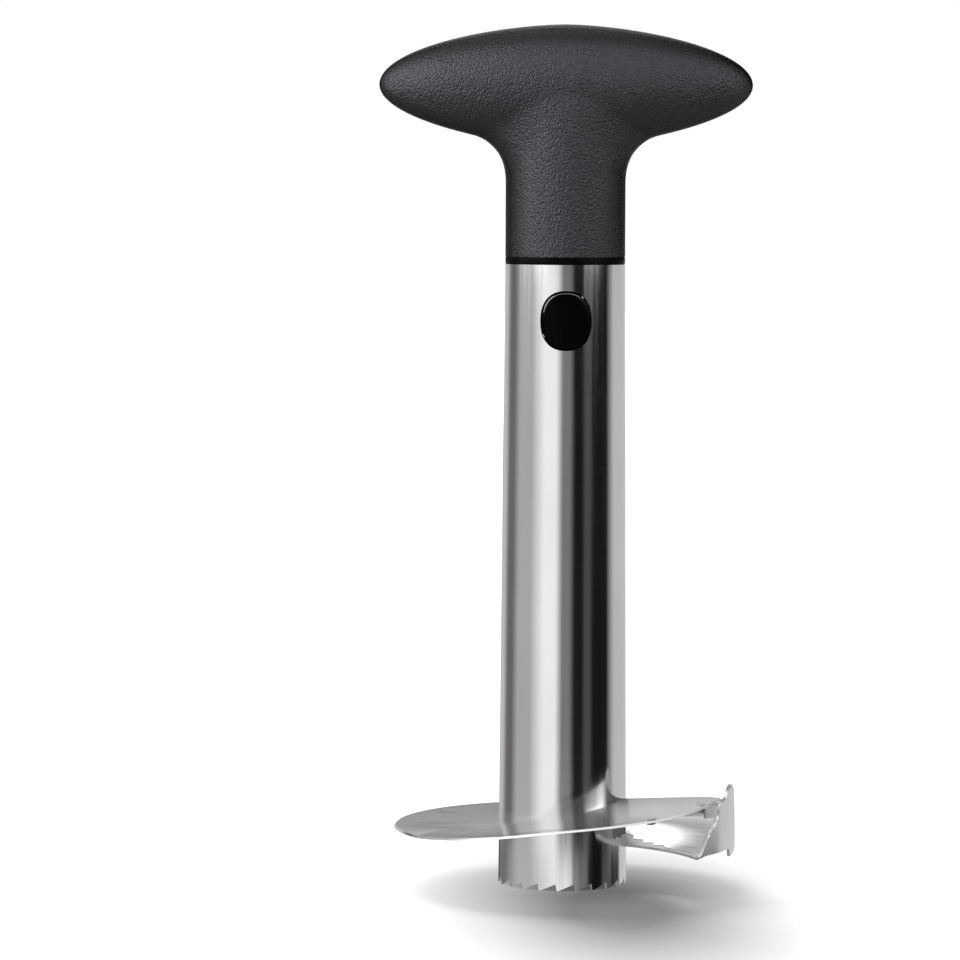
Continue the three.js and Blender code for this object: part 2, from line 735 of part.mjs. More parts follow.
// One level outline of the grip, drawn in by an inset.
function gripRing(z, sides, inset) {
  const turn = ease(z, neckBlendLowZ - collarHeight, neckBlendHighZ);
  const squeeze = mix(1, barHalfDepth / (barLength / 2), turn);
  const ring = [];
  for (let i = 0; i < sides; i += 1) {
    const t = (2 * Math.PI * i) / sides;
    const aim = new THREE.Vector3(Math.cos(t), squeeze * Math.sin(t), 0).normalize();
    let [inside, outside] = [0, barLength];
    for (let step = 0; step < searchSteps; step += 1) {
      const middle = (inside + outside) / 2;
      if (gripReach(aim.x * middle, aim.y * middle, z) + inset < 0) inside = middle;
      else outside = middle;
    }
    const point = aim.multiplyScalar(inside).setZ(z);
    if ((2 * i) % sides === 0) point.y = 0;
    ring.push(point);
  }
  return ring;
}

// Level heights from the neck's foot to the crown, closer together where the form turns.
function gripHeights(footZ, turnZ, topZ, below, above) {
  const heights = [];
  for (let i = 0; i < gripLevelsNeck && footZ < turnZ; i += 1) {
    heights.push(mix(footZ, turnZ, i / gripLevelsNeck));
  }
  for (let i = 0; i < below; i += 1) heights.push(mix(turnZ, barAxisZ, i / below));
  for (let i = 0; i < above; i += 1) {
    heights.push(barAxisZ + (topZ - barAxisZ) * Math.sin((Math.PI / 2) * (i / above)));
  }
  heights.push(mix(heights[heights.length - 1], topZ, gripCrownShare));
  return heights;
}

function gripParts() {
  const blendFootZ = neckBlendLowZ - neckBlendLow;
  const outerHeights = gripHeights(neckFootZ, blendFootZ, gripTopZ, gripLevelsBelow, gripLevelsAbove);
  const outer = solidFrom(gripBody(outerHeights, gripSides, 0, gripTopZ));
  const boreRadius = spigotRadius + fitGap;
  const bore = solidFrom(cylinder(boreRadius, neckFootZ - overrun, spigotTopZ + overrun, plugSides));
  const cavityTopZ = gripTopZ - gripWall;
  const cavityFootZ = spigotTopZ + fitGap;
  const levels = cavityLevels / 2;
  const cavityHeights = gripHeights(cavityFootZ, cavityFootZ, cavityTopZ, levels, levels);
  const cavity = solidFrom(gripBody(cavityHeights, cavitySides, gripWall, cavityTopZ));
  const hollow = outer.subtract(bore).subtract(cavity);
  const corner = (x, y, z) => new THREE.Vector3(x, y, z);
  const frontSide = solidFrom(box(corner(-barLength, -barLength, 0), corner(barLength, 0, 2 * gripTopZ)));
  const rearSide = solidFrom(box(corner(-barLength, 0, 0), corner(barLength, barLength, 2 * gripTopZ)));
  let front = hollow.intersect(frontSide);
  let rear = hollow.intersect(rearSide);
  Object.values(gripScrewPlaces).forEach(([x, z]) => {
    const along = (profile) => {
      return solidFrom(turned(profile, screwSides).rotateX(-Math.PI / 2).translate(x, 0, z));
    };
    const [ahead, behind] = [-barHalfDepth, barHalfDepth];
    const boss = along([[0, ahead], [gripBossRadius, ahead], [gripBossRadius, behind], [0, behind]]);
    const [shank, head] = [gripScrewShankRadius + fitGap, gripScrewHeadRadius + fitGap];
    const [tip, seat, mouth] = [-gripScrewReach - fitGap, gripScrewHeadDepth, 2 * barHalfDepth];
    const well = along([[0, tip], [shank, tip], [shank, seat], [head, seat], [head, mouth], [0, mouth]]);
    const post = boss.intersect(outer);
    front = front.add(post.intersect(frontSide)).subtract(well);
    rear = rear.add(post.intersect(rearSide)).subtract(well);
  });
  const seat = cylinder(pinRadius + fitGap, -pinLength / 2 - fitGap, pinLength / 2 + fitGap, screwSides);
  const pinSeat = solidFrom(seat.rotateY(Math.PI / 2).translate(0, 0, pinZ));
  return { front: front.subtract(pinSeat), rear: rear.subtract(pinSeat) };
}

function gripBody(heights, sides, inset, topZ) {
  const rings = heights.map((z) => gripRing(z, sides, inset));
  const geometry = stacked(rings);
  const points = geometry.attributes.position;
  points.setXYZ(points.count - 2, 0, 0, heights[0]);
  points.setXYZ(points.count - 1, 0, 0, topZ);
  return geometry;
}

function gripScrew([x, z]) {
  const profile = [
    [0, -gripScrewReach],
    [gripScrewShankRadius, -gripScrewReach],
    [gripScrewShankRadius, gripScrewHeadDepth + fitGap],
    [gripScrewHeadRadius, gripScrewHeadDepth + fitGap],
    [gripScrewHeadRadius, gripScrewHeadDepth + fitGap + gripScrewHeadHeight],
    [0, gripScrewHeadDepth + fitGap + gripScrewHeadHeight],
  ];
  return solidFrom(turned(profile, screwSides).rotateX(-Math.PI / 2).translate(x, 0, z));
}

// Assembly

const slicer = new THREE.Group();

function addPart(name, solid, material) {
  const mesh = new THREE.Mesh(welded(geometryFrom(solid)), material);
  mesh.name = name;
  slicer.add(mesh);
}

const grip = gripParts();
addPart('core_tube', coreTube(), steel);
addPart('ring_blade', ringBlade(), bladeSteel);
addPart('side_blade', sideBlade(), bladeSteel);
addPart('flap_rivet_front', flapRivet(rivetAngles[0]), fastenerSteel);
addPart('flap_rivet_rear', flapRivet(rivetAngles[1]), fastenerSteel);
addPart('shank_plug', shankPlug(), shankPlastic);
addPart('plug_end_cap', plugEndCap(), shankPlastic);
addPart('front_latch', latch(false), buttonPlastic);
addPart('rear_latch', latch(true), buttonPlastic);
addPart('front_latch_screw', latchScrew(false), fastenerSteel);
addPart('rear_latch_screw', latchScrew(true), fastenerSteel);
addPart('retaining_pin', retainingPin(), fastenerSteel);
addPart('grip_front_shell', grip.front, gripPlastic);
addPart('grip_rear_shell', grip.rear, gripPlastic);
addPart('grip_screw_left', gripScrew(gripScrewPlaces.left), fastenerSteel);
addPart('grip_screw_right', gripScrew(gripScrewPlaces.right), fastenerSteel);
addPart('grip_screw_middle', gripScrew(gripScrewPlaces.middle), fastenerSteel);

export default slicer;
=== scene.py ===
import math

import bmesh
import bpy
from mathutils import Matrix, Vector


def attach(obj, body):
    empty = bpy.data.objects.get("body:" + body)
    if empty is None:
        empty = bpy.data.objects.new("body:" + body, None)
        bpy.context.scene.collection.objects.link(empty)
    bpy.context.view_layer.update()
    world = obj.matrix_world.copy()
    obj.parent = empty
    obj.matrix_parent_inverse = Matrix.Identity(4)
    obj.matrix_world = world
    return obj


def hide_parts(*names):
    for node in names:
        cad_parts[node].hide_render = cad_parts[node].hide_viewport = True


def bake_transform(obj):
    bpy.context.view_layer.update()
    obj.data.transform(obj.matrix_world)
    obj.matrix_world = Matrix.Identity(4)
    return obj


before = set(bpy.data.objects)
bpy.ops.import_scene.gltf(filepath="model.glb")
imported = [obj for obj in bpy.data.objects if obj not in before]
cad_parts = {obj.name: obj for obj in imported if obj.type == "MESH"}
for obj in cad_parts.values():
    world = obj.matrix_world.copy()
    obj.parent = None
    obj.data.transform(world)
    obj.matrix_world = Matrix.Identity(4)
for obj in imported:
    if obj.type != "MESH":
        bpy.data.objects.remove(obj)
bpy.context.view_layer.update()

# Lengths are in millimetres until a piece is finished, angles in degrees.
# Angles round the axis start at the front (-Y) and grow towards the right (+X).
MM = 0.001

# Core tube
TUBE_TOP_Z = 173.6
TUBE_FOOT_RADIUS = 18.0
TUBE_TOP_RADIUS = 16.7
TUBE_WALL = 0.8
TOOTH_COUNT = 22
TOOTH_DEPTH = 1.9
TOOTH_TIP_FLAT = 0.4
TOOTH_STEEP_RUN = 0.35
TOOTH_TURN = -5.9
TOOTH_COLUMNS = 20
HOLE_WIDTH = 14.2
HOLE_HEIGHT = 16.5
HOLE_Z = 158.2
HOLE_FULLNESS = 2.35
HOLE_FIELD = 11.3

# Ring blade
RING_RADIUS = 47.4
RING_SHEET = 0.9
RING_WIDTH = RING_RADIUS - TUBE_FOOT_RADIUS
RIM_SHEET = 0.55
RIM_TAPER = 5.0
RING_FLAT_Z = 16.1
RIM_RISE = 10.3
ROOT_RISE = 7.9
FLAP_END = 67.0
RIM_RISE_START = -62.0
ROOT_RISE_START = -92.0
LIP_BEND = -248.0
LIP_ROOT = -288.0
LIP_RIM = -310.0
LIP_DROP = 4.9
LIP_POWER = 1.5
RIM_RISE_SHARES = [
    (0, 0), (0.14, 0.085), (0.3, 0.255), (0.4, 0.39), (0.5, 0.5), (0.65, 0.625), (0.75, 0.705),
    (0.88, 0.85), (1, 1),
]
HONED_HIGHLIGHT_FROM = -31.0
LAND_SHEET = 0.74
LAND_ROOT_DEPTH = 4.1
LAND_STEP_DEPTH = 4.9
LAND_MIDDLE_DEPTH = 3.1
LAND_RIM_DEPTH = 0.8
LAND_TEETH = 4
LAND_TOOTH_REACH_SHARE = 0.39
LAND_MIDDLE_REACH_SHARE = 0.78
LAND_TOOTH_DEPTH = 1.2
LAND_TOOTH_RUN = 1.3

# Side blade and its strap
SIDE_INNER = 47.7
SIDE_SHEET = 0.8
SIDE_FOOT_Z = 11.7
SIDE_HEEL_Z = 9.4
SIDE_TIP_Z = 29.6
SIDE_FRONT = 49.0
SIDE_HEEL = 73.0
SIDE_TIP = 74.6
SIDE_REAR_TOP = 79.4
SIDE_REAR = 88.0
SIDE_REAR_DROP = 1.8
SIDE_HEEL_RISE = 1.3
SIDE_GRIND = 0.6
SIDE_EDGE_SHARES = [
    (0, 0.02), (0.16, 0.19), (0.28, 0.38), (0.41, 0.48), (0.55, 0.77), (0.75, 0.83), (0.83, 0.94), (1, 1),
]
STRAP_SHEET = 0.5
STRAP_WIDTH = 3.7
STRAP_INSET = 1.2
STRAP_GAP = 0.02
STRAP_FRONT = 28.0
STRAP_REAR = 66.5
TAB_FRONT = 54.5
TAB_REAR = 66.6
TAB_DROP = 4.4
TAB_SHEET = 0.7
RIVET_ANGLES = {"front": 31.5, "rear": 57.0}
RIVET_INSET = 2.6
RIVET_HEAD = 1.4
RIVET_TOP_HEIGHT = 0.03
RIVET_FOOT_HEIGHTS = {"front": 0.5, "rear": 1.5}

# Shank plug, latches and pin
PLUG_FOOT_Z = 128.0
PLUG_RADIUS = 15.6
PLUG_BORE = 12.6
PLUG_BORE_TOP = 184.0
PLUG_WINDOW_WIDTH = 15.7
PLUG_WINDOW_HALF = 9.75
PLUG_WINDOW_CORNER = 4.0
NECK_FOOT_Z = 175.7
SPIGOT_RADIUS = 13.6
SPIGOT_TOP = 200.0
SPIGOT_FLAT = 8.0
LATCH_SCREW_Z = 195.0
PIN_Z = 189.5
BUTTON_GAP = 0.35
BUTTON_PROUD = 0.45
ARM_WIDTH = 9.0
ARM_SHEET = 1.6
ARM_LENGTH = 47.0
ARM_MIDDLE_Z = 174.5
LATCH_HOLE_RADIUS = 1.4
ARM_BENDS = [190.5, 189.0, 187.5, 186.0, 184.5, 183.0, 181.5]

# Grip
GRIP_TOP = 240.2
BAR_LENGTH = 104.0
BAR_AXIS_Z = 223.4
BAR_FOOT_HALF = 17.6
BAR_TOP_HALF = 16.8
BAR_DEPTH = 16.4
NECK_RADIUS = 16.7
GRIP_WALL = 2.6
GRIP_SCREWS = {"left": (-25.0, 223.4), "right": (25.0, 223.4), "middle": (0.0, 226.0)}

# Camera, in metres, degrees and millimetres of lens
CAMERA_X, CAMERA_Y, CAMERA_Z = -0.02355, -1.1973, 0.1922
CAMERA_TIP = 3.778
CAMERA_ROLL = 0.22
CAMERA_LENS = 160.7

# Light: the key comes from high behind, a little to the left, and a fill from each side
WORLD_LEVEL = 0.24
KEY_FROM = (-0.3, 1.0, 1.05)
KEY_STRENGTH = 1.3
KEY_ANGLE = 28.0
FILLS = {
    "fill_left": ((-0.9, -0.6, 0.95), (0.5, 0.9), 1.6),
    "fill_right": ((1.1, -0.4, 0.8), (0.5, 0.9), 1.4),
}

# Studio wall, seen only in reflections. Each row has the heights in metres that it fades in over, and its
# cards: from one angle to another round the object, and how light they are.
WALL_RADIUS = 500
WALL_FOOT, WALL_TOP = -160, 900
WALL_WHITE = 3.4
WALL_ROWS = [
    ((-0.16, -0.15), [(-180, 180, 0.3)]),
    ((-0.13, -0.11), [
        (-180, -162, 0.06), (-150, -126, 0.2), (-88, -58, 0.56), (-16, 13, 1.08), (19, 23, 0.32),
        (32, 42, 0.2), (48, 72, 0.006), (77, 94, 0.1), (100, 118, 0.02), (126, 180, 0.68),
    ]),
    ((-0.06, -0.052), [
        (-180, -142, 0.6), (-124, -108, 0.17), (-92, -64, 0.5), (-38, -16, 1.12), (-4, 9, 0.23),
        (18, 32, 0.01), (39, 47, 0.085), (54, 84, 0.01), (104, 180, 0.62),
    ]),
    ((0.178, 0.196), [(-180, -112, 0.03), (-86, -46, 3.4), (-24, 32, 0.03), (43, 68, 2.6), (82, 180, 0.03)]),
    ((0.255, 0.28), [
        (-180, -116, 0.5), (-88, -44, 3.4), (-24, 32, 0.3), (43, 70, 2.5), (80, 180, 0.03),
    ]),
    ((0.66, 0.8), [(-180, -125, 0.05), (-110, 110, 1.0), (125, 180, 0.05)]),
]
CLOTH_EDGE = (163, 170)
BACK_CLOTH = [
    (-0.16, 0.4), (0.055, 0.34), (0.075, 0.04), (0.096, 0.04), (0.118, 0.8), (0.148, 0.74), (0.188, 0.46),
    (0.208, 0.3), (0.23, 0.08), (0.262, 0.3), (0.31, 1.9), (0.66, 1.9), (0.8, 0.05),
]

# Floor: a glow for camera rays whitens it but fades out in an ellipse round the foot, leaving a painted
# shadow there over the real one. How far round the foot it stays unlifted, in metres
SHADE_MIDDLE = (0.014, -0.048)
SHADE_DEPTH = 0.42
SHADE_SPAN = (0.013, 0.075)
FLOOR_LIFT = 0.95


# Small sums

def mix(a, b, share):
    return a + (b - a) * share


def ease(value, low, high):
    share = min(max((value - low) / (high - low), 0.0), 1.0)
    return share * share * (3 - 2 * share)


def polar(radius, degrees, z):
    turn = math.radians(degrees)
    return Vector((radius * math.sin(turn), -radius * math.cos(turn), z))


def straight_share(table, place):
    for (x0, y0), (x1, y1) in zip(table, table[1:]):
        if place <= x1:
            return mix(y0, y1, (place - x0) / (x1 - x0))
    return table[-1][1]


def smooth_share(table, place):
    """The table's value at a place, on a smooth line through its points."""
    slopes = []
    for i in range(len(table)):
        before, after = table[max(i - 1, 0)], table[min(i + 1, len(table) - 1)]
        slopes.append((after[1] - before[1]) / (after[0] - before[0]))
    slopes[0] = 0.0
    for i, ((x0, y0), (x1, y1)) in enumerate(zip(table, table[1:])):
        if place <= x1 or i == len(table) - 2:
            run = x1 - x0
            t = min(max((place - x0) / run, 0.0), 1.0)
            rise = (2 * t - 3) * t * t
            return (
                y0 * (1 + rise) - y1 * rise
                + slopes[i] * run * t * (1 - t) ** 2 + slopes[i + 1] * run * t * t * (t - 1)
            )


def tube_radius(z):
    return mix(TUBE_FOOT_RADIUS, TUBE_TOP_RADIUS, z / TUBE_TOP_Z)


def signed_power(value, power):
    return math.copysign(abs(value) ** power, value)


def oval_point(turn, half_width, half_height):
    """A point of the hole's outline: an oval with slightly straighter sides than an ellipse."""
    power = 2 / HOLE_FULLNESS
    across = half_width * signed_power(math.cos(turn), power)
    up = half_height * signed_power(math.sin(turn), power)
    return across, up


def oval_turn(across, up, half_width, half_height):
    power = HOLE_FULLNESS / 2
    return math.atan2(signed_power(up / half_height, power), signed_power(across / half_width, power))


# Materials

def new_material(name):
    material = bpy.data.materials.new(name)
    material.use_nodes = True
    nodes, links = material.node_tree.nodes, material.node_tree.links
    shader = nodes["Principled BSDF"]
    return material, nodes, links, shader


def placed(nodes, links, scale, source="Object"):
    """Coordinates on the piece itself, stretched by a scale for each axis."""
    coordinates = nodes.new("ShaderNodeTexCoord")
    mapping = nodes.new("ShaderNodeMapping")
    mapping.inputs["Scale"].default_value = scale
    links.new(coordinates.outputs[source], mapping.inputs["Vector"])
    return mapping.outputs["Vector"]


def noise(nodes, links, vector, detail=3.0, roughness=0.5, scale=1.0, distortion=0.0):
    node = nodes.new("ShaderNodeTexNoise")
    node.inputs["Scale"].default_value = scale
    node.inputs["Detail"].default_value = detail
    node.inputs["Roughness"].default_value = roughness
    node.inputs["Distortion"].default_value = distortion
    links.new(vector, node.inputs["Vector"])
    return node.outputs["Fac"]


def spread(nodes, links, value, low, high, start=0.3, end=0.7):
    node = nodes.new("ShaderNodeMapRange")
    node.inputs["From Min"].default_value = start
    node.inputs["From Max"].default_value = end
    node.inputs["To Min"].default_value = low
    node.inputs["To Max"].default_value = high
    links.new(value, node.inputs["Value"])
    return node.outputs["Result"]


def sum_of(nodes, links, operation, *values):
    node = nodes.new("ShaderNodeMath")
    node.operation = operation
    for value, socket in zip(values, node.inputs):
        links.new(value, socket)
    return node.outputs[0]


def tinted(nodes, links, value, dark, light, start=0.3, end=0.7):
    ramp = nodes.new("ShaderNodeValToRGB")
    ramp.color_ramp.elements[0].position = start
    ramp.color_ramp.elements[0].color = (*dark, 1)
    ramp.color_ramp.elements[1].position = end
    ramp.color_ramp.elements[1].color = (*light, 1)
    links.new(value, ramp.inputs["Fac"])
    return ramp.outputs["Color"]


def bumped(nodes, links, shader, height, distance):
    bump = nodes.new("ShaderNodeBump")
    bump.inputs["Strength"].default_value = 1.0
    bump.inputs["Distance"].default_value = distance
    links.new(height, bump.inputs["Height"])
    links.new(bump.outputs["Normal"], shader.inputs["Normal"])


def polished_tube_steel():
    material, nodes, links, shader = new_material("polished_tube_steel")
    shader.inputs["Metallic"].default_value = 1.0
    drawn = noise(nodes, links, placed(nodes, links, (900, 900, 14)), detail=4, roughness=0.6)
    cloudy = noise(nodes, links, placed(nodes, links, (60, 60, 25)), detail=3)
    tint = tinted(nodes, links, cloudy, (0.72, 0.71, 0.70), (0.78, 0.775, 0.77))
    links.new(tint, shader.inputs["Base Color"])
    links.new(spread(nodes, links, drawn, 0.07, 0.14), shader.inputs["Roughness"])
    bumped(nodes, links, shader, drawn, 0.000002)
    return material


def brushed_blade_steel(
    name, low, high, tint_low, tint_high, streaks=(500, 2.5, 1.0), depth=0.0000006, metallic=1.0,
):
    """Sheet ground across its width: the streaks follow the piece's own map."""
    material, nodes, links, shader = new_material(name)
    shader.inputs["Metallic"].default_value = metallic
    ground = noise(nodes, links, placed(nodes, links, streaks, "UV"), detail=3, roughness=0.55)
    cloudy = noise(nodes, links, placed(nodes, links, (70, 70, 70)), detail=3)
    links.new(tinted(nodes, links, cloudy, tint_low, tint_high), shader.inputs["Base Color"])
    links.new(spread(nodes, links, ground, low, high), shader.inputs["Roughness"])
    bumped(nodes, links, shader, ground, depth)
    return material


def turned_fastener_steel():
    material, nodes, links, shader = new_material("turned_fastener_steel")
    shader.inputs["Metallic"].default_value = 1.0
    grain = noise(nodes, links, placed(nodes, links, (1800, 1800, 1800)), detail=4)
    tint = tinted(nodes, links, grain, (0.50, 0.50, 0.49), (0.62, 0.62, 0.61))
    links.new(tint, shader.inputs["Base Color"])
    links.new(spread(nodes, links, grain, 0.24, 0.38), shader.inputs["Roughness"])
    bumped(nodes, links, shader, grain, 0.00001)
    return material


def grained_grip_plastic():
    """Dark plastic with a fine pebbled grain."""
    material, nodes, links, shader = new_material("grained_grip_plastic")
    place = placed(nodes, links, (1, 1, 1))
    pebbles = nodes.new("ShaderNodeTexVoronoi")
    pebbles.feature = "SMOOTH_F1"
    pebbles.inputs["Scale"].default_value = 1700
    pebbles.inputs["Smoothness"].default_value = 0.35
    pebbles.inputs["Randomness"].default_value = 1.0
    links.new(place, pebbles.inputs["Vector"])
    grain = noise(nodes, links, place, scale=1900, detail=3, roughness=0.6)
    height = sum_of(nodes, links, "SUBTRACT", grain, pebbles.outputs["Distance"])
    # Painted shade in the grain: its pits take the dark colour and its tops the light one
    dark, light = (0.003, 0.0029, 0.0038), (0.012, 0.0116, 0.0150)
    pit_shaded_grain = tinted(nodes, links, height, dark, light, -0.15, 0.45)
    links.new(pit_shaded_grain, shader.inputs["Base Color"])
    links.new(spread(nodes, links, grain, 0.34, 0.46), shader.inputs["Roughness"])
    facing = nodes.new("ShaderNodeLayerWeight")
    facing.inputs["Blend"].default_value = 0.5
    gloss = spread(nodes, links, facing.outputs["Facing"], 0.84, 0.07, 0.24, 0.60)
    links.new(gloss, shader.inputs["Specular IOR Level"])
    shader.inputs["Specular Tint"].default_value = (0.92, 0.90, 1.0, 1)
    bumped(nodes, links, shader, height, 0.00026)
    return material


def moulded_plastic(name, colour, low, high, grain_depth, specular, coat=0.0):
    material, nodes, links, shader = new_material(name)
    shader.inputs["Specular IOR Level"].default_value = specular
    shader.inputs["Coat Weight"].default_value = coat
    shader.inputs["Coat Roughness"].default_value = 0.08
    place = placed(nodes, links, (1, 1, 1))
    fine = noise(nodes, links, place, scale=2500, detail=3)
    cloudy = noise(nodes, links, place, scale=150, detail=3)
    dark = tuple(0.85 * c for c in colour)
    light = tuple(1.15 * c for c in colour)
    links.new(tinted(nodes, links, cloudy, dark, light), shader.inputs["Base Color"])
    links.new(spread(nodes, links, cloudy, low, high), shader.inputs["Roughness"])
    bumped(nodes, links, shader, fine, grain_depth)
    return material


TUBE_STEEL = polished_tube_steel()
BLADE_STEEL = brushed_blade_steel(
    "brushed_blade_steel", 0.14, 0.22, (0.84, 0.84, 0.84), (0.90, 0.90, 0.905), metallic=0.78
)
LAND_STEEL = brushed_blade_steel(
    "ground_land_steel", 0.42, 0.55, (0.82, 0.82, 0.82), (0.90, 0.90, 0.90), streaks=(900, 8.0, 1.0),
    depth=0.0000015, metallic=0.65,
)
# Honed rim edge, rougher than the blade, with a lighter tint that paints the rim's bright highlight
HONED_EDGE_HIGHLIGHT_STEEL = brushed_blade_steel(
    "honed_edge_steel_painted_highlight", 0.5, 0.62, (0.94, 0.94, 0.94), (0.97, 0.97, 0.97), metallic=0.9
)
# Painted shade: the tab under the flap gets the blade's steel in a much darker tint
TAB_SHADE_STEEL = brushed_blade_steel("tab_steel_painted_shade", 0.42, 0.55, (0.40, 0.40, 0.40), (0.48, 0.48, 0.48))
FASTENER_STEEL = turned_fastener_steel()
GRIP_PLASTIC = grained_grip_plastic()
SHANK_PLASTIC = moulded_plastic(
    "satin_shank_plastic", (0.0045, 0.0044, 0.0050), 0.30, 0.42, 0.000004, 0.03
)
BUTTON_PLASTIC = moulded_plastic(
    "gloss_button_plastic", (0.0040, 0.0040, 0.0042), 0.20, 0.28, 0.000001, 0.02
)
# Painted highlight: a glossy coated copy of the button plastic, for the upper part of its rounded rim only
BUTTON_TOP_HIGHLIGHT = moulded_plastic(
    "button_rim_painted_highlight", (0.0036, 0.0036, 0.0038), 0.10, 0.14, 0.000001, 1.0, coat=1.0
)


# From mesh code to finished pieces

def link_mesh(name, bm, *materials):
    """Turns mesh code in millimetres into an object in metres."""
    bmesh.ops.scale(bm, vec=(MM, MM, MM), verts=bm.verts)
    mesh = bpy.data.meshes.new(name)
    bm.to_mesh(mesh)
    bm.free()
    for material in materials:
        mesh.materials.append(material)
    piece = bpy.data.objects.new(name, mesh)
    bpy.context.scene.collection.objects.link(piece)
    return piece


def settle(piece):
    """Makes a piece's modifiers part of its mesh."""
    bpy.context.view_layer.update()
    graph = bpy.context.evaluated_depsgraph_get()
    mesh = bpy.data.meshes.new_from_object(piece.evaluated_get(graph))
    piece.modifiers.clear()
    old = piece.data
    piece.data = mesh
    bpy.data.meshes.remove(old)


def cut(piece, *tools, operation="DIFFERENCE"):
    for tool in tools:
        modifier = piece.modifiers.new("cut", "BOOLEAN")
        modifier.operation = operation
        modifier.solver = "EXACT"
        modifier.object = tool
        settle(piece)
        bpy.data.objects.remove(tool)


def give_wall(piece, thickness, offset=-1.0):
    modifier = piece.modifiers.new("wall", "SOLIDIFY")
    modifier.thickness = thickness * MM
    modifier.offset = offset
    modifier.use_even_offset = True
    settle(piece)


def round_edges(piece, width, segments=2, angle=40.0):
    modifier = piece.modifiers.new("round", "BEVEL")
    modifier.width = width * MM
    modifier.segments = segments
    modifier.limit_method = "ANGLE"
    modifier.angle_limit = math.radians(angle)
    modifier.use_clamp_overlap = True
    modifier.miter_outer = "MITER_ARC"
    settle(piece)


def shade(piece, angle=35.0):
    mesh = piece.data
    mesh.polygons.foreach_set("use_smooth", [True] * len(mesh.polygons))
    mesh.set_sharp_from_angle(angle=math.radians(angle))


def shade_by(piece, normal_at, near=16.0, far=60.0, alike=40.0):
    """Gives faces on a known surface that surface's own normals, so that reflections run clean."""
    mesh = piece.data
    mesh.polygons.foreach_set("use_smooth", [True] * len(mesh.polygons))
    near, far, alike = (math.cos(math.radians(a)) for a in (near, far, alike))
    around = [[] for _ in mesh.vertices]
    for face in mesh.polygons:
        for corner in face.vertices:
            around[corner].append((face.normal.copy(), face.area))
    true = []
    for vertex, faces in zip(mesh.vertices, around):
        best = normal_at(vertex.co / MM)
        side = 0
        for normal, _ in faces:
            lean = normal.dot(best)
            if abs(lean) > near:
                side = 1 if lean > 0 else -1
        true.append(best * side if side else None)
    normals = []
    for face in mesh.polygons:
        own = face.normal
        for corner in face.vertices:
            best = true[corner]
            if best is None or own.dot(best) < far:
                best = Vector()
                for normal, area in around[corner]:
                    if own.dot(normal) > alike:
                        best += normal * area
                best = best.normalized() if best.length > 0 else own
            normals.append(best)
    mesh.normals_split_custom_set(normals)


def settle_in(piece, body, slot, *nodes):
    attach(piece, body)
    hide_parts(*nodes)
    return piece


def new_verts(result):
    return [part for part in result["geom"] if isinstance(part, bmesh.types.BMVert)]


def turned(profile, steps, closed=True):
    """A body turned round +Z from [radius, height] pairs that run up its outside."""
    bm = bmesh.new()
    verts = [bm.verts.new((radius, 0, z)) for radius, z in profile]
    edges = [bm.edges.new(pair) for pair in zip(verts, verts[1:])]
    if closed:
        edges.append(bm.edges.new((verts[-1], verts[0])))
    bmesh.ops.spin(
        bm, geom=verts + edges, cent=(0, 0, 0), axis=(0, 0, 1), dvec=(0, 0, 0),
        angle=2 * math.pi, steps=steps, use_merge=True, use_duplicate=False,
    )
    bmesh.ops.remove_doubles(bm, verts=bm.verts, dist=0.0001)
    bmesh.ops.recalc_face_normals(bm, faces=bm.faces)
    return bm


def sheet(columns, rows, place):
    """A bent sheet: place(along, across, side) maps a flat grid with two sides, 0 below and 1 above."""
    bm = bmesh.new()
    bmesh.ops.create_grid(bm, x_segments=columns, y_segments=rows, size=0.5)
    bmesh.ops.translate(bm, vec=(0.5, 0.5, 0), verts=bm.verts)
    raised = bmesh.ops.extrude_face_region(bm, geom=bm.faces[:])
    bmesh.ops.translate(bm, vec=(0, 0, 1), verts=new_verts(raised))
    own_map = bm.loops.layers.uv.new("own_map")
    for face in bm.faces:
        for loop in face.loops:
            loop[own_map].uv = loop.vert.co.xy
    for vert in bm.verts:
        vert.co = place(*vert.co)
    bmesh.ops.recalc_face_normals(bm, faces=bm.faces)
    return bm


def block(name, low, high, turn=None):
    bm = bmesh.new()
    bmesh.ops.create_cube(bm, size=1)
    low, high = Vector(low), Vector(high)
    bmesh.ops.scale(bm, vec=high - low, verts=bm.verts)
    bmesh.ops.translate(bm, vec=(low + high) / 2, verts=bm.verts)
    if turn is not None:
        bmesh.ops.transform(bm, matrix=turn, verts=bm.verts)
    return link_mesh(name, bm)


def rod(name, radius, low, high, turn=None, steps=32):
    bm = turned([(0, low), (radius, low), (radius, high), (0, high)], steps, closed=False)
    if turn is not None:
        bmesh.ops.transform(bm, matrix=turn, verts=bm.verts)
    return link_mesh(name, bm)


# Core tube

def tooth_column(step):
    """Turns an even step round the tube into one that puts the tooth corners on columns."""
    pitch = 2 * math.pi * TUBE_FOOT_RADIUS / TOOTH_COUNT
    marks = [(0, 0), (2, TOOTH_TIP_FLAT / pitch), (16, 1 - TOOTH_STEEP_RUN / pitch), (TOOTH_COLUMNS, 1)]
    return straight_share(marks, step)


def tooth_height(share):
    pitch = 2 * math.pi * TUBE_FOOT_RADIUS / TOOTH_COUNT
    marks = [(0, 0), (TOOTH_TIP_FLAT / pitch, 0), (1 - TOOTH_STEEP_RUN / pitch, TOOTH_DEPTH), (1, 0)]
    return straight_share(marks, share)


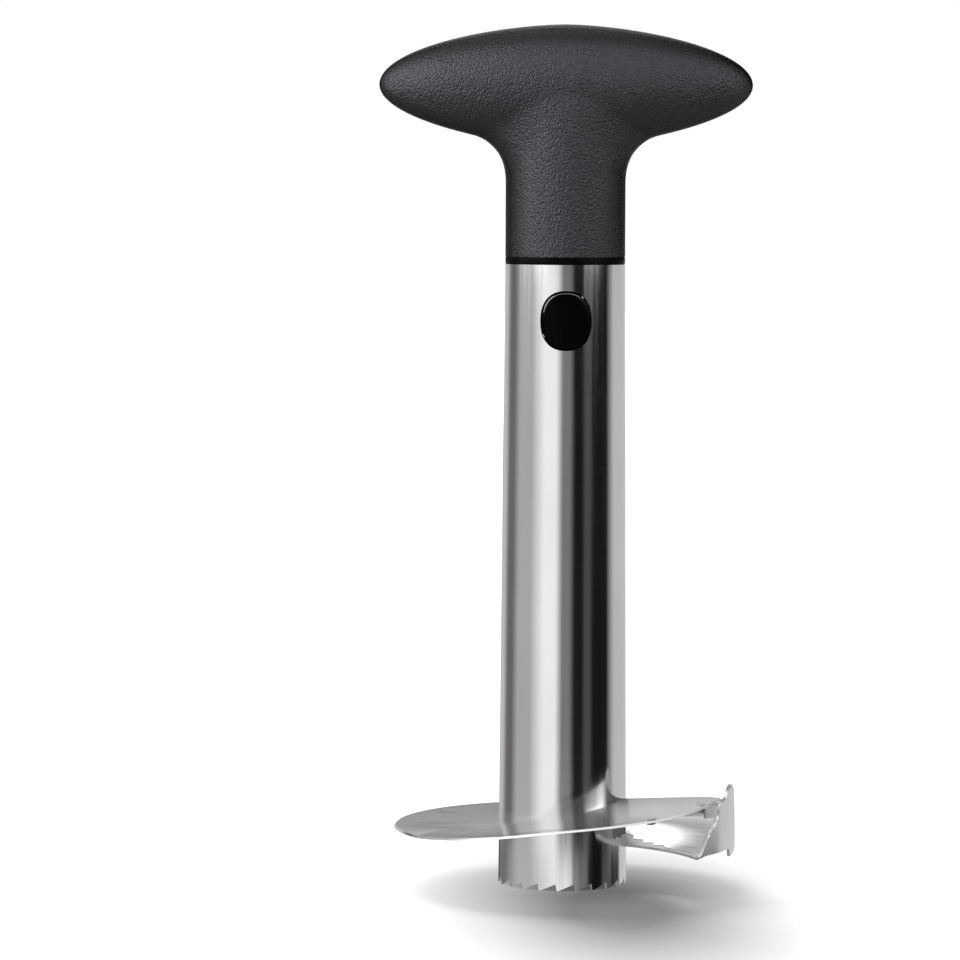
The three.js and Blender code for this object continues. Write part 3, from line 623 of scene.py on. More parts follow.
def open_hole(bm, is_rear):
    """Opens an oval hole in the tube's skin, with rings of faces that lead up to its edge."""
    low_z, high_z, half = HOLE_Z - HOLE_FIELD, HOLE_Z + HOLE_FIELD, 36.0
    middle = 180.0 if is_rear else 0.0

    def off_middle(co):
        degrees = math.degrees(math.atan2(co.x, -co.y)) - middle
        return (degrees + 180) % 360 - 180

    inside = []
    for face in bm.faces:
        centre = face.calc_center_median()
        if low_z < centre.z < high_z and abs(off_middle(centre)) < half:
            inside.append(face)
    bmesh.ops.delete(bm, geom=inside, context="FACES")
    edges = [
        e for e in bm.edges
        if e.is_boundary and 20 < e.verts[0].co.z < TUBE_TOP_Z - 2 and abs(off_middle(e.verts[0].co)) < 60
    ]
    for share in (0.45, 0.75, 0.92, 1.0):
        made = bmesh.ops.extrude_edge_only(bm, edges=edges)
        for vert in new_verts(made):
            degrees = off_middle(vert.co)
            across = math.radians(degrees) * tube_radius(HOLE_Z)
            up = vert.co.z - HOLE_Z
            turn = math.atan2(up / (HOLE_HEIGHT / 2), across / (HOLE_WIDTH / 2))
            goal_across, goal_up = oval_point(turn, HOLE_WIDTH / 2, HOLE_HEIGHT / 2)
            goal_z = HOLE_Z + goal_up
            goal_degrees = math.degrees(math.asin(goal_across / tube_radius(goal_z)))
            z = mix(vert.co.z, goal_z, share)
            vert.co = polar(tube_radius(z), middle + mix(degrees, goal_degrees, share), z)
        edges = [part for part in made["geom"] if isinstance(part, bmesh.types.BMEdge)]


def make_core_tube():
    hole_rows = [HOLE_Z - HOLE_FIELD + 2 * HOLE_FIELD * i / 26 for i in range(27)]
    rows = [0, 2.6, 5, 12, 30, 60, 90, 120, 140, *hole_rows, 172.2, TUBE_TOP_Z]
    bm = turned([(tube_radius(z), z) for z in rows], TOOTH_COUNT * TOOTH_COLUMNS, closed=False)
    for vert in bm.verts:
        step = math.degrees(math.atan2(vert.co.x, -vert.co.y)) % 360 / 360 * TOOTH_COUNT * TOOTH_COLUMNS
        step = round(step)
        tooth, column = divmod(step, TOOTH_COLUMNS)
        share = tooth_column(column) if vert.co.z < 8 else column / TOOTH_COLUMNS
        z = vert.co.z if vert.co.z > 1 else tooth_height(share)
        vert.co = polar(tube_radius(z), TOOTH_TURN + (tooth + share) * 360 / TOOTH_COUNT, z)
    for is_rear in (False, True):
        open_hole(bm, is_rear)
    bmesh.ops.recalc_face_normals(bm, faces=bm.faces)
    bm.normal_update()
    bm.faces.ensure_lookup_table()
    first = bm.faces[0]
    if first.normal.dot(first.calc_center_median() * Vector((1, 1, 0))) < 0:
        bmesh.ops.reverse_faces(bm, faces=bm.faces)
    piece = link_mesh("polished_core_tube", bm, TUBE_STEEL)
    give_wall(piece, TUBE_WALL)
    round_edges(piece, 0.12, segments=2, angle=45)
    lean = (TUBE_FOOT_RADIUS - TUBE_TOP_RADIUS) / TUBE_TOP_Z
    shade_by(piece, lambda co: Vector((co.x, co.y, lean * co.xy.length)).normalized())
    return settle_in(piece, "blade_unit", "tube_steel", "core_tube")


# Ring blade

def ring_height(degrees, share):
    """Height of the middle of the sheet, at a share of the way from the tube to the rim."""
    if degrees < LIP_BEND:
        end = mix(LIP_ROOT, LIP_RIM, share)
        down = max(0.0, (LIP_BEND - degrees) / (LIP_BEND - end))
        return RING_FLAT_Z - LIP_DROP * down ** LIP_POWER
    rim_place = (degrees - RIM_RISE_START) / (FLAP_END - RIM_RISE_START)
    root_place = (degrees - ROOT_RISE_START) / (FLAP_END - ROOT_RISE_START)
    rim = RIM_RISE * smooth_share(RIM_RISE_SHARES, min(max(rim_place, 0.0), 1.0))
    root_place = min(max(root_place, 0.0), 1.0)
    root = ROOT_RISE * (root_place - 0.04 * (1 - root_place) if root_place > 0.08 else 6.0 * root_place ** 2)
    return RING_FLAT_Z + mix(root, rim, share)


def ring_point(along, across, lift):
    end = mix(LIP_ROOT, LIP_RIM, across)
    straight = mix(LIP_ROOT, FLAP_END, along)
    skew = (end - LIP_ROOT) * max(0.0, 1 - (straight - LIP_ROOT) / (LIP_BEND - LIP_ROOT))
    degrees = straight + skew
    z = ring_height(degrees, across)
    radius = mix(tube_radius(z) - 0.35, RING_RADIUS, across)
    return polar(radius, degrees, z + lift)


def ring_normal(co):
    """The sheet's own normal near a point."""
    radius = co.xy.length
    turn = math.degrees(math.atan2(co.x, -co.y))
    best = None
    for degrees in (turn, turn - 360):
        if not LIP_RIM - 1 <= degrees <= FLAP_END + 1:
            continue
        across = (radius - tube_radius(co.z)) / (RING_RADIUS - tube_radius(co.z))
        gap = abs(ring_height(degrees, min(max(across, 0.0), 1.0)) - co.z)
        if best is None or gap < best[0]:
            best = (gap, degrees, across)
    if best is None:
        return Vector((0, 0, 1))
    _, degrees, across = best
    across = min(max(across, 0.02), 0.98)
    step = 0.4

    def at(d, a):
        z = ring_height(d, a)
        return polar(mix(tube_radius(z), RING_RADIUS, a), d, z)

    low_side = max(degrees - step, mix(LIP_ROOT, LIP_RIM, across))
    high_side = min(degrees + step, FLAP_END)
    along = at(high_side, across) - at(low_side, across)
    outward = at(degrees, across + 0.01) - at(degrees, across - 0.01)
    return outward.cross(along).normalized()


def sheet_top(across):
    """How far the sheet's top lies above its middle: it thins towards the rim."""
    thinned = ease(across, 1 - RIM_TAPER / RING_WIDTH, 1 - RIM_SHEET / RING_WIDTH)
    return RING_SHEET / 2 - (RING_SHEET - RIM_SHEET) * thinned


def land_tool():
    """The block of air over the stepped land: what the grinding takes away."""
    low = LAND_SHEET - RING_SHEET / 2
    lip = (LIP_BEND - LIP_ROOT) / (FLAP_END - LIP_ROOT)
    band = link_mesh("land_band", sheet(60, 12, lambda u, v, side: ring_point(
        mix(-0.01, lip, u), mix(-0.02, 1.02, v), low + 3 * side)))
    root, rim = ring_point(0, 0, 0), ring_point(0, 1, 0)
    along = (rim - root) * Vector((1, 1, 0))
    length = along.length
    along.normalize()
    back = Vector((-along.y, along.x, 0))

    def spot(reach, depth):
        return (root + along * reach + back * depth) * Vector((1, 1, 0))

    outline = [
        spot(-3, -3), spot(length + 3, -3), spot(length + 3, LAND_RIM_DEPTH), spot(length, LAND_RIM_DEPTH),
    ]
    outline.append(spot(length * LAND_MIDDLE_REACH_SHARE, LAND_MIDDLE_DEPTH))
    for i in range(LAND_TEETH - 1, -1, -1):
        share = i / (LAND_TEETH - 1)
        reach = length * LAND_TOOTH_REACH_SHARE * share
        depth = mix(LAND_ROOT_DEPTH, LAND_STEP_DEPTH, share)
        outline += [spot(reach + LAND_TOOTH_RUN, depth - LAND_TOOTH_DEPTH), spot(reach, depth)]
    outline.append(spot(-3, LAND_ROOT_DEPTH - LAND_TOOTH_DEPTH))
    bm = bmesh.new()
    face = bm.faces.new([bm.verts.new(point) for point in outline])
    grown = bmesh.ops.extrude_face_region(bm, geom=[face])
    bmesh.ops.translate(bm, vec=(0, 0, 40), verts=new_verts(grown))
    bmesh.ops.recalc_face_normals(bm, faces=bm.faces)
    cut(band, link_mesh("land_outline", bm), operation="INTERSECT")
    return band


def rivet_frame(degrees):
    """Where a rivet stands on the flap, and which way is up there."""
    share = 1 - RIVET_INSET / RING_WIDTH

    def at(angle, across):
        z = ring_height(angle, across)
        return polar(mix(tube_radius(z), RING_RADIUS, across), angle, z)

    place = at(degrees, share)
    up = (at(degrees, 1) - place).cross(at(degrees + 1, share) - place).normalized()
    turn = Vector((0, 0, 1)).rotation_difference(up).to_matrix().to_4x4()
    return Matrix.Translation(place) @ turn


def make_ring_blade():
    flat = 1 - RIM_SHEET / RING_WIDTH
    rows, rim_rows = 26, 3

    def honed(u, v, side):
        """The sheet with its rim honed: the last rows slope down to the lower edge."""
        row = v * (rows + rim_rows)
        slope = max(row - rows, 0) / rim_rows
        across = mix(flat * min(row / rows, 1), 1, slope)
        foot = -RING_SHEET / 2
        return ring_point(u, across, mix(foot, sheet_top(across), side * (1 - slope)))

    bm = sheet(355, rows + rim_rows, honed)
    bmesh.ops.remove_doubles(bm, verts=bm.verts, dist=0.001)
    bmesh.ops.recalc_face_normals(bm, faces=bm.faces)
    piece = link_mesh("ring_blade_sheet", bm, BLADE_STEEL, LAND_STEEL, HONED_EDGE_HIGHLIGHT_STEEL)
    cut(piece, land_tool())
    for degrees in RIVET_ANGLES.values():
        cut(piece, rod("rivet_hole", 1.0, -3, 3, rivet_frame(degrees), steps=24))
    for face in piece.data.polygons:
        centre = face.center / MM
        outward = centre.xy.normalized()
        degrees = math.degrees(math.atan2(centre.x, -centre.y))
        # The rim past the starting angle, and the lowered lip's rim, get the lighter honed steel: a real
        # honed edge with a painted highlight
        on_rim = centre.xy.length > RING_RADIUS - RIM_SHEET - 0.1 and face.normal.xy.dot(outward) > 0.3
        if on_rim and (degrees > HONED_HIGHLIGHT_FROM or centre.z < RING_FLAT_Z - 1):
            face.material_index = 2
        degrees -= 360
        if LIP_RIM - 1 < degrees < LIP_BEND:
            across = (centre.xy.length - tube_radius(centre.z)) / (RING_RADIUS - tube_radius(centre.z))
            lift = centre.z - ring_height(degrees, min(max(across, 0), 1))
            if face.normal.z > 0.5 and lift < sheet_top(across) - 0.06:
                face.material_index = 1
            elif face.normal.xy.dot(Vector((outward.y, -outward.x))) > 0.5:
                face.material_index = 2
    round_edges(piece, 0.08, segments=2, angle=50)
    shade_by(piece, ring_normal, far=35.0)
    return settle_in(piece, "blade_unit", "blade_steel", "ring_blade")


def make_rivet(name, degrees):
    above = sheet_top(1 - RIVET_INSET / RING_WIDTH)
    below = -RING_SHEET / 2 - STRAP_GAP - STRAP_SHEET
    foot = RIVET_FOOT_HEIGHTS[name]
    dome = [(math.cos(math.radians(a)), math.sin(math.radians(a))) for a in range(0, 90, 12)]
    profile = [(0, below - foot)]
    profile += [(RIVET_HEAD * r, below - foot * z) for r, z in reversed(dome)]
    profile += [(0.9, below), (0.9, above)]
    profile += [(RIVET_HEAD * r, above + RIVET_TOP_HEIGHT * z) for r, z in dome]
    profile += [(0, above + RIVET_TOP_HEIGHT)]
    bm = turned(profile, 40, closed=False)
    bmesh.ops.transform(bm, matrix=rivet_frame(degrees), verts=bm.verts)
    piece = link_mesh(f"domed_flap_rivet_{name}", bm, FASTENER_STEEL)
    shade(piece, 50)
    return settle_in(piece, "blade_unit", "fastener_steel", f"flap_rivet_{name}")


# Side blade

def side_upper(degrees):
    if degrees > SIDE_REAR_TOP:
        back = (degrees - SIDE_REAR_TOP) / (SIDE_REAR - SIDE_REAR_TOP)
        return mix(SIDE_TIP_Z - SIDE_REAR_DROP, SIDE_HEEL_Z + SIDE_HEEL_RISE + RING_SHEET, back)
    if degrees > SIDE_TIP:
        return SIDE_TIP_Z - SIDE_REAR_DROP * (degrees - SIDE_TIP) / (SIDE_REAR_TOP - SIDE_TIP)
    place = (degrees - SIDE_FRONT) / (SIDE_TIP - SIDE_FRONT)
    return SIDE_FOOT_Z + (SIDE_TIP_Z - SIDE_FOOT_Z) * smooth_share(SIDE_EDGE_SHARES, max(place, 0.0))


def side_lower(degrees):
    back = max(degrees - SIDE_HEEL, 0) / (SIDE_REAR - SIDE_HEEL)
    return mix(SIDE_FOOT_Z, SIDE_HEEL_Z + SIDE_HEEL_RISE * back, ease(degrees, SIDE_HEEL - 1, SIDE_HEEL))


def side_point(u, v, side):
    degrees = mix(SIDE_FRONT, SIDE_REAR, u)
    low, high = side_lower(degrees), side_upper(degrees)
    z = mix(low, high, v)
    to_edge = high - z if degrees < SIDE_TIP else 9.0
    ground = 1 - 0.85 * (1 - min(to_edge / SIDE_GRIND, 1.0))
    return polar(SIDE_INNER + side * SIDE_SHEET * ground, degrees, z)


def strap_point(u, v, side):
    degrees = mix(STRAP_FRONT, STRAP_REAR, u)
    reach = 1 + (0.3 + SIDE_SHEET / 2) / RING_WIDTH if degrees > 62 else 1 - STRAP_INSET / RING_WIDTH
    across = mix(1 - (STRAP_WIDTH + STRAP_INSET) / RING_WIDTH, reach, v)
    z = ring_height(degrees, across)
    thin = mix(mix(1, 0.3, v), 1, ease(degrees, 58, 63))
    lift = -RING_SHEET / 2 - STRAP_GAP - (1 - side) * STRAP_SHEET * thin
    return polar(mix(tube_radius(z), RING_RADIUS, across), degrees, z + lift)


def tab_point(u, v, side):
    """The folded tab that joins the strap's end to the plate under the flap."""
    degrees = mix(TAB_FRONT, TAB_REAR, u)
    top = ring_height(degrees, 1) - RING_SHEET / 2 - STRAP_GAP - 0.1
    drop = TAB_DROP * mix(0.6, 1.0, u)
    return polar(SIDE_INNER + 0.1 - (1 - side) * TAB_SHEET, degrees, mix(top - drop, top, v))


def make_side_blade():
    plate = link_mesh("side_blade_plate", sheet(78, 24, side_point), BLADE_STEEL, LAND_STEEL, TAB_SHADE_STEEL)
    strap = link_mesh("side_blade_strap", sheet(60, 6, strap_point), BLADE_STEEL)
    tab = link_mesh("side_blade_tab", sheet(12, 6, tab_point), BLADE_STEEL)
    cut(plate, strap, tab, operation="UNION")
    for face in plate.data.polygons:
        centre = face.center / MM
        degrees = math.degrees(math.atan2(centre.x, -centre.y))
        from_edge = side_upper(degrees) - centre.z if SIDE_FRONT - 1 < degrees < SIDE_TIP + 1 else 9
        # The tab's faces get the darker steel: painted shade under the flap
        on_tab = TAB_FRONT - 1 < degrees < TAB_REAR + 1 and centre.xy.length < SIDE_INNER + 0.15
        if centre.xy.length > SIDE_INNER - 0.1 and from_edge < SIDE_GRIND:
            face.material_index = 1
        elif on_tab and abs(face.normal.z) < 0.7:
            face.material_index = 2
    round_edges(plate, 0.04, segments=2, angle=45)
    shade(plate, 20)
    return settle_in(plate, "blade_unit", "blade_steel", "side_blade")


# Shank plug and its cap

def rounded_window(name, width, low_z, high_z, round_by, near, far, is_rear):
    bm = bmesh.new()
    half = width / 2
    corners = [(-half, low_z), (half, low_z), (half, high_z), (-half, high_z)]
    face = bm.faces.new([bm.verts.new((x, -near, z)) for x, z in corners])
    bmesh.ops.bevel(
        bm, geom=bm.verts[:], offset=round_by, offset_type="OFFSET", segments=8,
        affect="VERTICES", profile=0.5, material=-1,
    )
    grown = bmesh.ops.extrude_face_region(bm, geom=bm.faces[:])
    bmesh.ops.translate(bm, vec=(0, near - far, 0), verts=new_verts(grown))
    bmesh.ops.recalc_face_normals(bm, faces=bm.faces)
    if is_rear:
        bmesh.ops.rotate(bm, cent=(0, 0, 0), matrix=Matrix.Rotation(math.pi, 3, "Z"), verts=bm.verts)
    return link_mesh(name, bm)


def make_shank_plug():
    profile = [
        (PLUG_BORE, PLUG_FOOT_Z), (PLUG_RADIUS - 0.4, PLUG_FOOT_Z), (PLUG_RADIUS, PLUG_FOOT_Z + 0.4),
        (PLUG_RADIUS, TUBE_TOP_Z), (TUBE_TOP_RADIUS - 0.25, TUBE_TOP_Z), (TUBE_TOP_RADIUS, TUBE_TOP_Z + 0.25),
        (TUBE_TOP_RADIUS, NECK_FOOT_Z - 0.35), (TUBE_TOP_RADIUS - 0.1, NECK_FOOT_Z - 0.1),
        (TUBE_TOP_RADIUS - 0.35, NECK_FOOT_Z), (SPIGOT_RADIUS, NECK_FOOT_Z),
        (SPIGOT_RADIUS, SPIGOT_TOP - 0.6), (SPIGOT_RADIUS - 0.6, SPIGOT_TOP), (0, SPIGOT_TOP),
        (0, PLUG_BORE_TOP), (PLUG_BORE, PLUG_BORE_TOP),
    ]
    piece = link_mesh("shank_plug_body", turned(profile, 128), SHANK_PLASTIC)
    half_turn = Matrix.Rotation(math.pi, 4, "Z")
    for is_rear in (False, True):
        turn = half_turn if is_rear else Matrix.Identity(4)
        cut(piece, block("flat", (-20, -20, PLUG_BORE_TOP), (20, -SPIGOT_FLAT, SPIGOT_TOP + 3), turn))
        low_z, high_z = HOLE_Z - PLUG_WINDOW_HALF, HOLE_Z + PLUG_WINDOW_HALF
        cut(piece, rounded_window(
            "window", PLUG_WINDOW_WIDTH, low_z, high_z, PLUG_WINDOW_CORNER, SPIGOT_FLAT, 20.0, is_rear))
        lie = turn @ Matrix.Translation((0, 0, LATCH_SCREW_Z)) @ Matrix.Rotation(math.pi / 2, 4, "X")
        cut(piece, rod("screw_hole", LATCH_HOLE_RADIUS, 3.3, 9.0, lie, steps=24))
    across = Matrix.Translation((0, 0, PIN_Z)) @ Matrix.Rotation(math.pi / 2, 4, "Y")
    cut(piece, rod("pin_bore", 2.3, -18, 18, across, steps=32))
    round_edges(piece, 0.2, segments=2, angle=50)
    shade(piece, 32)
    return settle_in(piece, "handle", "shank_plastic", "shank_plug")


def make_end_cap():
    spigot = PLUG_BORE - 0.3
    profile = [
        (0, PLUG_FOOT_Z - 1.6), (PLUG_RADIUS - 0.5, PLUG_FOOT_Z - 1.6),
        (PLUG_RADIUS - 0.15, PLUG_FOOT_Z - 1.45),
        (PLUG_RADIUS, PLUG_FOOT_Z - 1.1), (PLUG_RADIUS, PLUG_FOOT_Z - 0.2), (PLUG_RADIUS - 0.2, PLUG_FOOT_Z),
        (spigot, PLUG_FOOT_Z), (spigot, PLUG_FOOT_Z + 3.6), (spigot - 0.4, PLUG_FOOT_Z + 4),
        (spigot - 1.6, PLUG_FOOT_Z + 4), (spigot - 1.6, PLUG_FOOT_Z), (0, PLUG_FOOT_Z),
    ]
    piece = link_mesh("plug_cap_disc", turned(profile, 96, closed=False), SHANK_PLASTIC)
    shade(piece, 30)
    return settle_in(piece, "handle", "shank_plastic", "plug_end_cap")


# Latches

def make_latch(name, is_rear):
    """A spring arm with an oval button whose face follows the tube. The arm is cut across at the ARM_BENDS
    heights below its screw.
    """
    bm = bmesh.new()
    made = bmesh.ops.create_circle(bm, cap_ends=False, segments=96, radius=1)
    half_width, half_height = HOLE_WIDTH / 2 - BUTTON_GAP, HOLE_HEIGHT / 2 - BUTTON_GAP
    face = tube_radius(HOLE_Z) + BUTTON_PROUD
    rings = [
        (0.0, None), (0.0, 1.05), (0.06, 0.72), (0.22, 0.40), (0.48, 0.17), (0.85, 0.04), (1.3, 0.0),
        (3.5, 0.0), (5.6, 0.0),
    ]
    turns = {vert: math.atan2(vert.co.y, vert.co.x) for vert in made["verts"]}
    edges = bm.edges[:]
    first = True
    for inset, below in rings:
        if first:
            verts = list(turns)
            first = False
        else:
            grown = bmesh.ops.extrude_edge_only(bm, edges=edges)
            edges = [part for part in grown["geom"] if isinstance(part, bmesh.types.BMEdge)]
            verts = new_verts(grown)
        for vert in verts:
            if below is None:
                turn = turns[vert]
            else:
                turn = oval_turn(vert.co.x, vert.co.z - HOLE_Z, *last_half)
            x, up = oval_point(turn, half_width - inset, half_height - inset)
            z = HOLE_Z + up
            y = -(SPIGOT_FLAT + ARM_SHEET / 2) if below is None else -math.sqrt(face ** 2 - x ** 2) + below
            vert.co = (x, y, z)
        last_half = (half_width - inset, half_height - inset)
    bmesh.ops.contextual_create(bm, geom=edges)
    start_edges = [e for e in bm.edges if e.is_boundary]
    bmesh.ops.contextual_create(bm, geom=start_edges)
    bmesh.ops.recalc_face_normals(bm, faces=bm.faces)
    arm = bmesh.ops.create_cube(bm, size=1)["verts"]
    bmesh.ops.scale(bm, vec=(ARM_WIDTH, ARM_SHEET, ARM_LENGTH), verts=arm)
    bmesh.ops.translate(bm, vec=(0, -SPIGOT_FLAT - ARM_SHEET / 2, ARM_MIDDLE_Z), verts=arm)
    arm_edges = list({e for v in arm for e in v.link_edges})
    bmesh.ops.bevel(
        bm, geom=arm_edges, offset=0.3, offset_type="OFFSET", segments=2,
        affect="EDGES", profile=0.5, material=-1,
    )
    for bend in ARM_BENDS:
        whole = bm.verts[:] + bm.edges[:] + bm.faces[:]
        bmesh.ops.bisect_plane(bm, geom=whole, plane_co=(0, 0, bend), plane_no=(0, 0, 1), dist=0.0001)
    if is_rear:
        bmesh.ops.rotate(bm, cent=(0, 0, 0), matrix=Matrix.Rotation(math.pi, 3, "Z"), verts=bm.verts)
    piece = link_mesh(name, bm, BUTTON_PLASTIC, BUTTON_TOP_HIGHLIGHT)
    for face in piece.data.polygons:
        outward = (face.center * Vector((1, 1, 0))).normalized()
        is_edge = abs(face.center.y / MM) > 12 and 0.15 < face.normal.dot(outward) < 0.94
        # Only the rim's upward faces get the glossy copy: a painted highlight arc along the top
        if is_edge and face.normal.z > 0.1:
            face.material_index = 1
    lie = Matrix.Translation((0, 0, LATCH_SCREW_Z)) @ Matrix.Rotation(math.pi / 2, 4, "X")
    low, high = (7.0, 11.0) if not is_rear else (-11.0, -7.0)
    cut(piece, rod("arm_hole", LATCH_HOLE_RADIUS, low, high, lie, steps=24))
    shade(piece, 40)
    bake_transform(piece)
    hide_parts("rear_latch" if is_rear else "front_latch")
    return piece


# Grip

def bar_reach(x, y, z):
    place = abs(x) / (BAR_LENGTH / 2)
    if place >= 1:
        return abs(x) - BAR_LENGTH / 2
    above = z > BAR_AXIS_Z
    half = BAR_TOP_HALF if above else BAR_FOOT_HALF
    power = 1.66 if above else 1.42
    half_height = half * max(math.sqrt(1 - place ** power), 0.03)
    half_depth = BAR_DEPTH * max(math.sqrt(1 - place ** 1.7), 0.03)
    return (math.hypot(y / half_depth, (z - BAR_AXIS_Z) / half_height) - 1) * min(half_height, half_depth)


def grip_reach(x, y, z):
    """How far a point lies outside the grip, with the neck blended into the bar."""
    bar = bar_reach(x, y, z)
    radius = math.hypot(x, y)
    neck = radius - NECK_RADIUS + 24 * ease(z, 211, 236) ** 2
    sideways = (x / radius) ** 2 if radius > 0 else 1
    blend = mix(3, mix(11, 3, ease(z, 206, 219)), sideways)
    near = max(blend - abs(bar - neck), 0) / blend
    return min(bar, neck) - near * near * blend / 4


def grip_half(name, is_rear):
    """One half of the grip: its skin, its wall and the flat faces where the halves meet."""
    heights = [mix(NECK_FOOT_Z, 195, i / 8) for i in range(8)]
    heights += [mix(195, BAR_AXIS_Z, i / 44) for i in range(44)]
    heights += [BAR_AXIS_Z + BAR_TOP_HALF * math.sin(math.pi / 2 * i / 30) for i in range(31)]
    columns = 112

    def skin(u, v, side):
        z = straight_share([(i / (len(heights) - 1), h) for i, h in enumerate(heights)], v)
        inset = 0 if side > 0.5 else GRIP_WALL
        if inset:
            z = mix(NECK_FOOT_Z, GRIP_TOP - GRIP_WALL, (z - NECK_FOOT_Z) / (GRIP_TOP - NECK_FOOT_Z))
        squeeze = mix(1, BAR_DEPTH / (BAR_LENGTH / 2), ease(z, 203.9, 219))
        turn = math.pi * u
        aim = Vector((-math.cos(turn), -squeeze * math.sin(turn)))
        aim.normalize()
        low, high = 0.0, BAR_LENGTH
        for _ in range(26):
            middle = (low + high) / 2
            if grip_reach(aim.x * middle, aim.y * middle, z) + inset < 0:
                low = middle
            else:
                high = middle
        y = 0.0 if u < 0.0001 or u > 0.9999 else aim.y * low
        return Vector((aim.x * low, y, z))

    bm = sheet(columns, len(heights) - 1, skin)
    bmesh.ops.remove_doubles(bm, verts=bm.verts, dist=0.001)
    bmesh.ops.recalc_face_normals(bm, faces=bm.faces)
    if is_rear:
        bmesh.ops.scale(bm, vec=(1, -1, 1), verts=bm.verts)
        bmesh.ops.recalc_face_normals(bm, faces=bm.faces)
    return link_mesh(name, bm, GRIP_PLASTIC)


def make_grip_shells():
    front = grip_half("grip_front_half", False)
    round_edges(front, 0.16, segments=2, angle=50)
    shade(front, 50)
    settle_in(front, "handle", "grip_plastic", "grip_front_shell")
    rear = grip_half("grip_rear_half", True)
    for x, z in GRIP_SCREWS.values():
        lie = Matrix.Translation((x, 0, z)) @ Matrix.Rotation(-math.pi / 2, 4, "X")
        outside = 11.2 if x else 14.2
        cut(rear, rod("boss", 4.4, 0.02, outside, lie, steps=48), operation="UNION")
        cut(rear, rod("well", 3.3, 7.0, 40, lie, steps=48))
        cut(rear, rod("pilot", 1.8, -1, 9, lie, steps=24))
    round_edges(rear, 0.16, segments=2, angle=50)
    shade(rear, 50)
    settle_in(rear, "handle", "grip_plastic", "grip_rear_shell")
    return front, rear


def make_grip_screw(name, x, z):
    """A pan-head screw with a cross recess, put in from behind."""
    profile = [
        (0, -7.0), (0.5, -6.9), (1.3, -5.6), (1.5, -5.0), (1.5, 7.3), (2.9, 7.3), (2.9, 7.9),
        (2.72, 8.5), (2.3, 8.95), (1.5, 9.22), (0.7, 9.3), (0, 9.3),
    ]
    bm = turned(profile, 48, closed=False)
    lie = Matrix.Translation((x, 0, z)) @ Matrix.Rotation(-math.pi / 2, 4, "X")
    bmesh.ops.transform(bm, matrix=lie, verts=bm.verts)
    piece = link_mesh(f"grip_screw_{name}_pan_head", bm, FASTENER_STEEL)
    for turn in (0, 90):
        spin = Matrix.Translation((x, 0, z)) @ Matrix.Rotation(math.radians(turn + 20), 4, "Y")
        cut(piece, block("slot", (-1.6, 8.3, -0.35), (1.6, 10.0, 0.35), spin))
    shade(piece, 35)
    return settle_in(piece, "handle", "fastener_steel", f"grip_screw_{name}")


# Studio

def make_camera():
    data = bpy.data.cameras.new("camera")
    data.sensor_width = 36
    data.lens = CAMERA_LENS
    data.clip_end = 50
    camera = bpy.data.objects.new("camera", data)
    camera.location = (CAMERA_X, CAMERA_Y, CAMERA_Z)
    tip = Matrix.Rotation(math.radians(90 - CAMERA_TIP), 3, "X")
    roll = Matrix.Rotation(math.radians(CAMERA_ROLL), 3, "Z")
    camera.rotation_euler = (tip @ roll).to_euler()
    bpy.context.scene.collection.objects.link(camera)
    bpy.context.scene.camera = camera


def make_floor():
    bm = bmesh.new()
    bmesh.ops.create_grid(bm, x_segments=1, y_segments=1, size=6000)
    bmesh.ops.translate(bm, vec=(0, 0, -0.02), verts=bm.verts)
    material, nodes, links, shader = new_material("pale_floor")
    shader.inputs["Base Color"].default_value = (0.80, 0.80, 0.80, 1)
    shader.inputs["Roughness"].default_value = 0.5
    shader.inputs["Specular IOR Level"].default_value = 0.0
    path = nodes.new("ShaderNodeLightPath")
    shown = sum_of(nodes, links, "MAXIMUM", path.outputs["Is Camera Ray"], path.outputs["Is Glossy Ray"])
    # The glow fades out in an ellipse round the foot: painted shadow on the floor there, over the real one
    shade = nodes.new("ShaderNodeMapping")
    shade.inputs["Location"].default_value = (-SHADE_MIDDLE[0], -SHADE_MIDDLE[1] * SHADE_DEPTH, 0)
    shade.inputs["Scale"].default_value = (1, SHADE_DEPTH, 1)
    links.new(nodes.new("ShaderNodeTexCoord").outputs["Object"], shade.inputs["Vector"])
    away = nodes.new("ShaderNodeVectorMath")
    away.operation = "LENGTH"
    links.new(shade.outputs["Vector"], away.inputs[0])
    clear = spread(nodes, links, away.outputs["Value"], 0, FLOOR_LIFT, *SHADE_SPAN)
    lift = sum_of(nodes, links, "MULTIPLY", clear, shown)
    shader.inputs["Emission Color"].default_value = (1, 1, 1, 1)
    links.new(lift, shader.inputs["Emission Strength"])
    floor = link_mesh("floor", bm, material)
    floor.visible_glossy = False


def graded(nodes, links, place, stops, low, high):
    """A grey ramp over a place from low to high, with stops of (place, level)."""
    ramp = nodes.new("ShaderNodeValToRGB")
    elements = ramp.color_ramp.elements
    elements.remove(elements[-1])
    for i, (at, level) in enumerate(stops):
        share = (at - low) / (high - low)
        element = elements[0] if i == 0 else elements.new(share)
        element.position = share
        grey = level / WALL_WHITE
        element.color = (grey, grey * 0.992, grey * 0.985, 1)
    links.new(spread(nodes, links, place, 0, 1, low, high), ramp.inputs["Fac"])
    return ramp.outputs["Color"]


def blended(nodes, links, share, first, second):
    blend = nodes.new("ShaderNodeMix")
    blend.data_type = "RGBA"
    links.new(share, blend.inputs["Factor"])
    links.new(first, blend.inputs[6])
    links.new(second, blend.inputs[7])
    return blend.outputs[2]


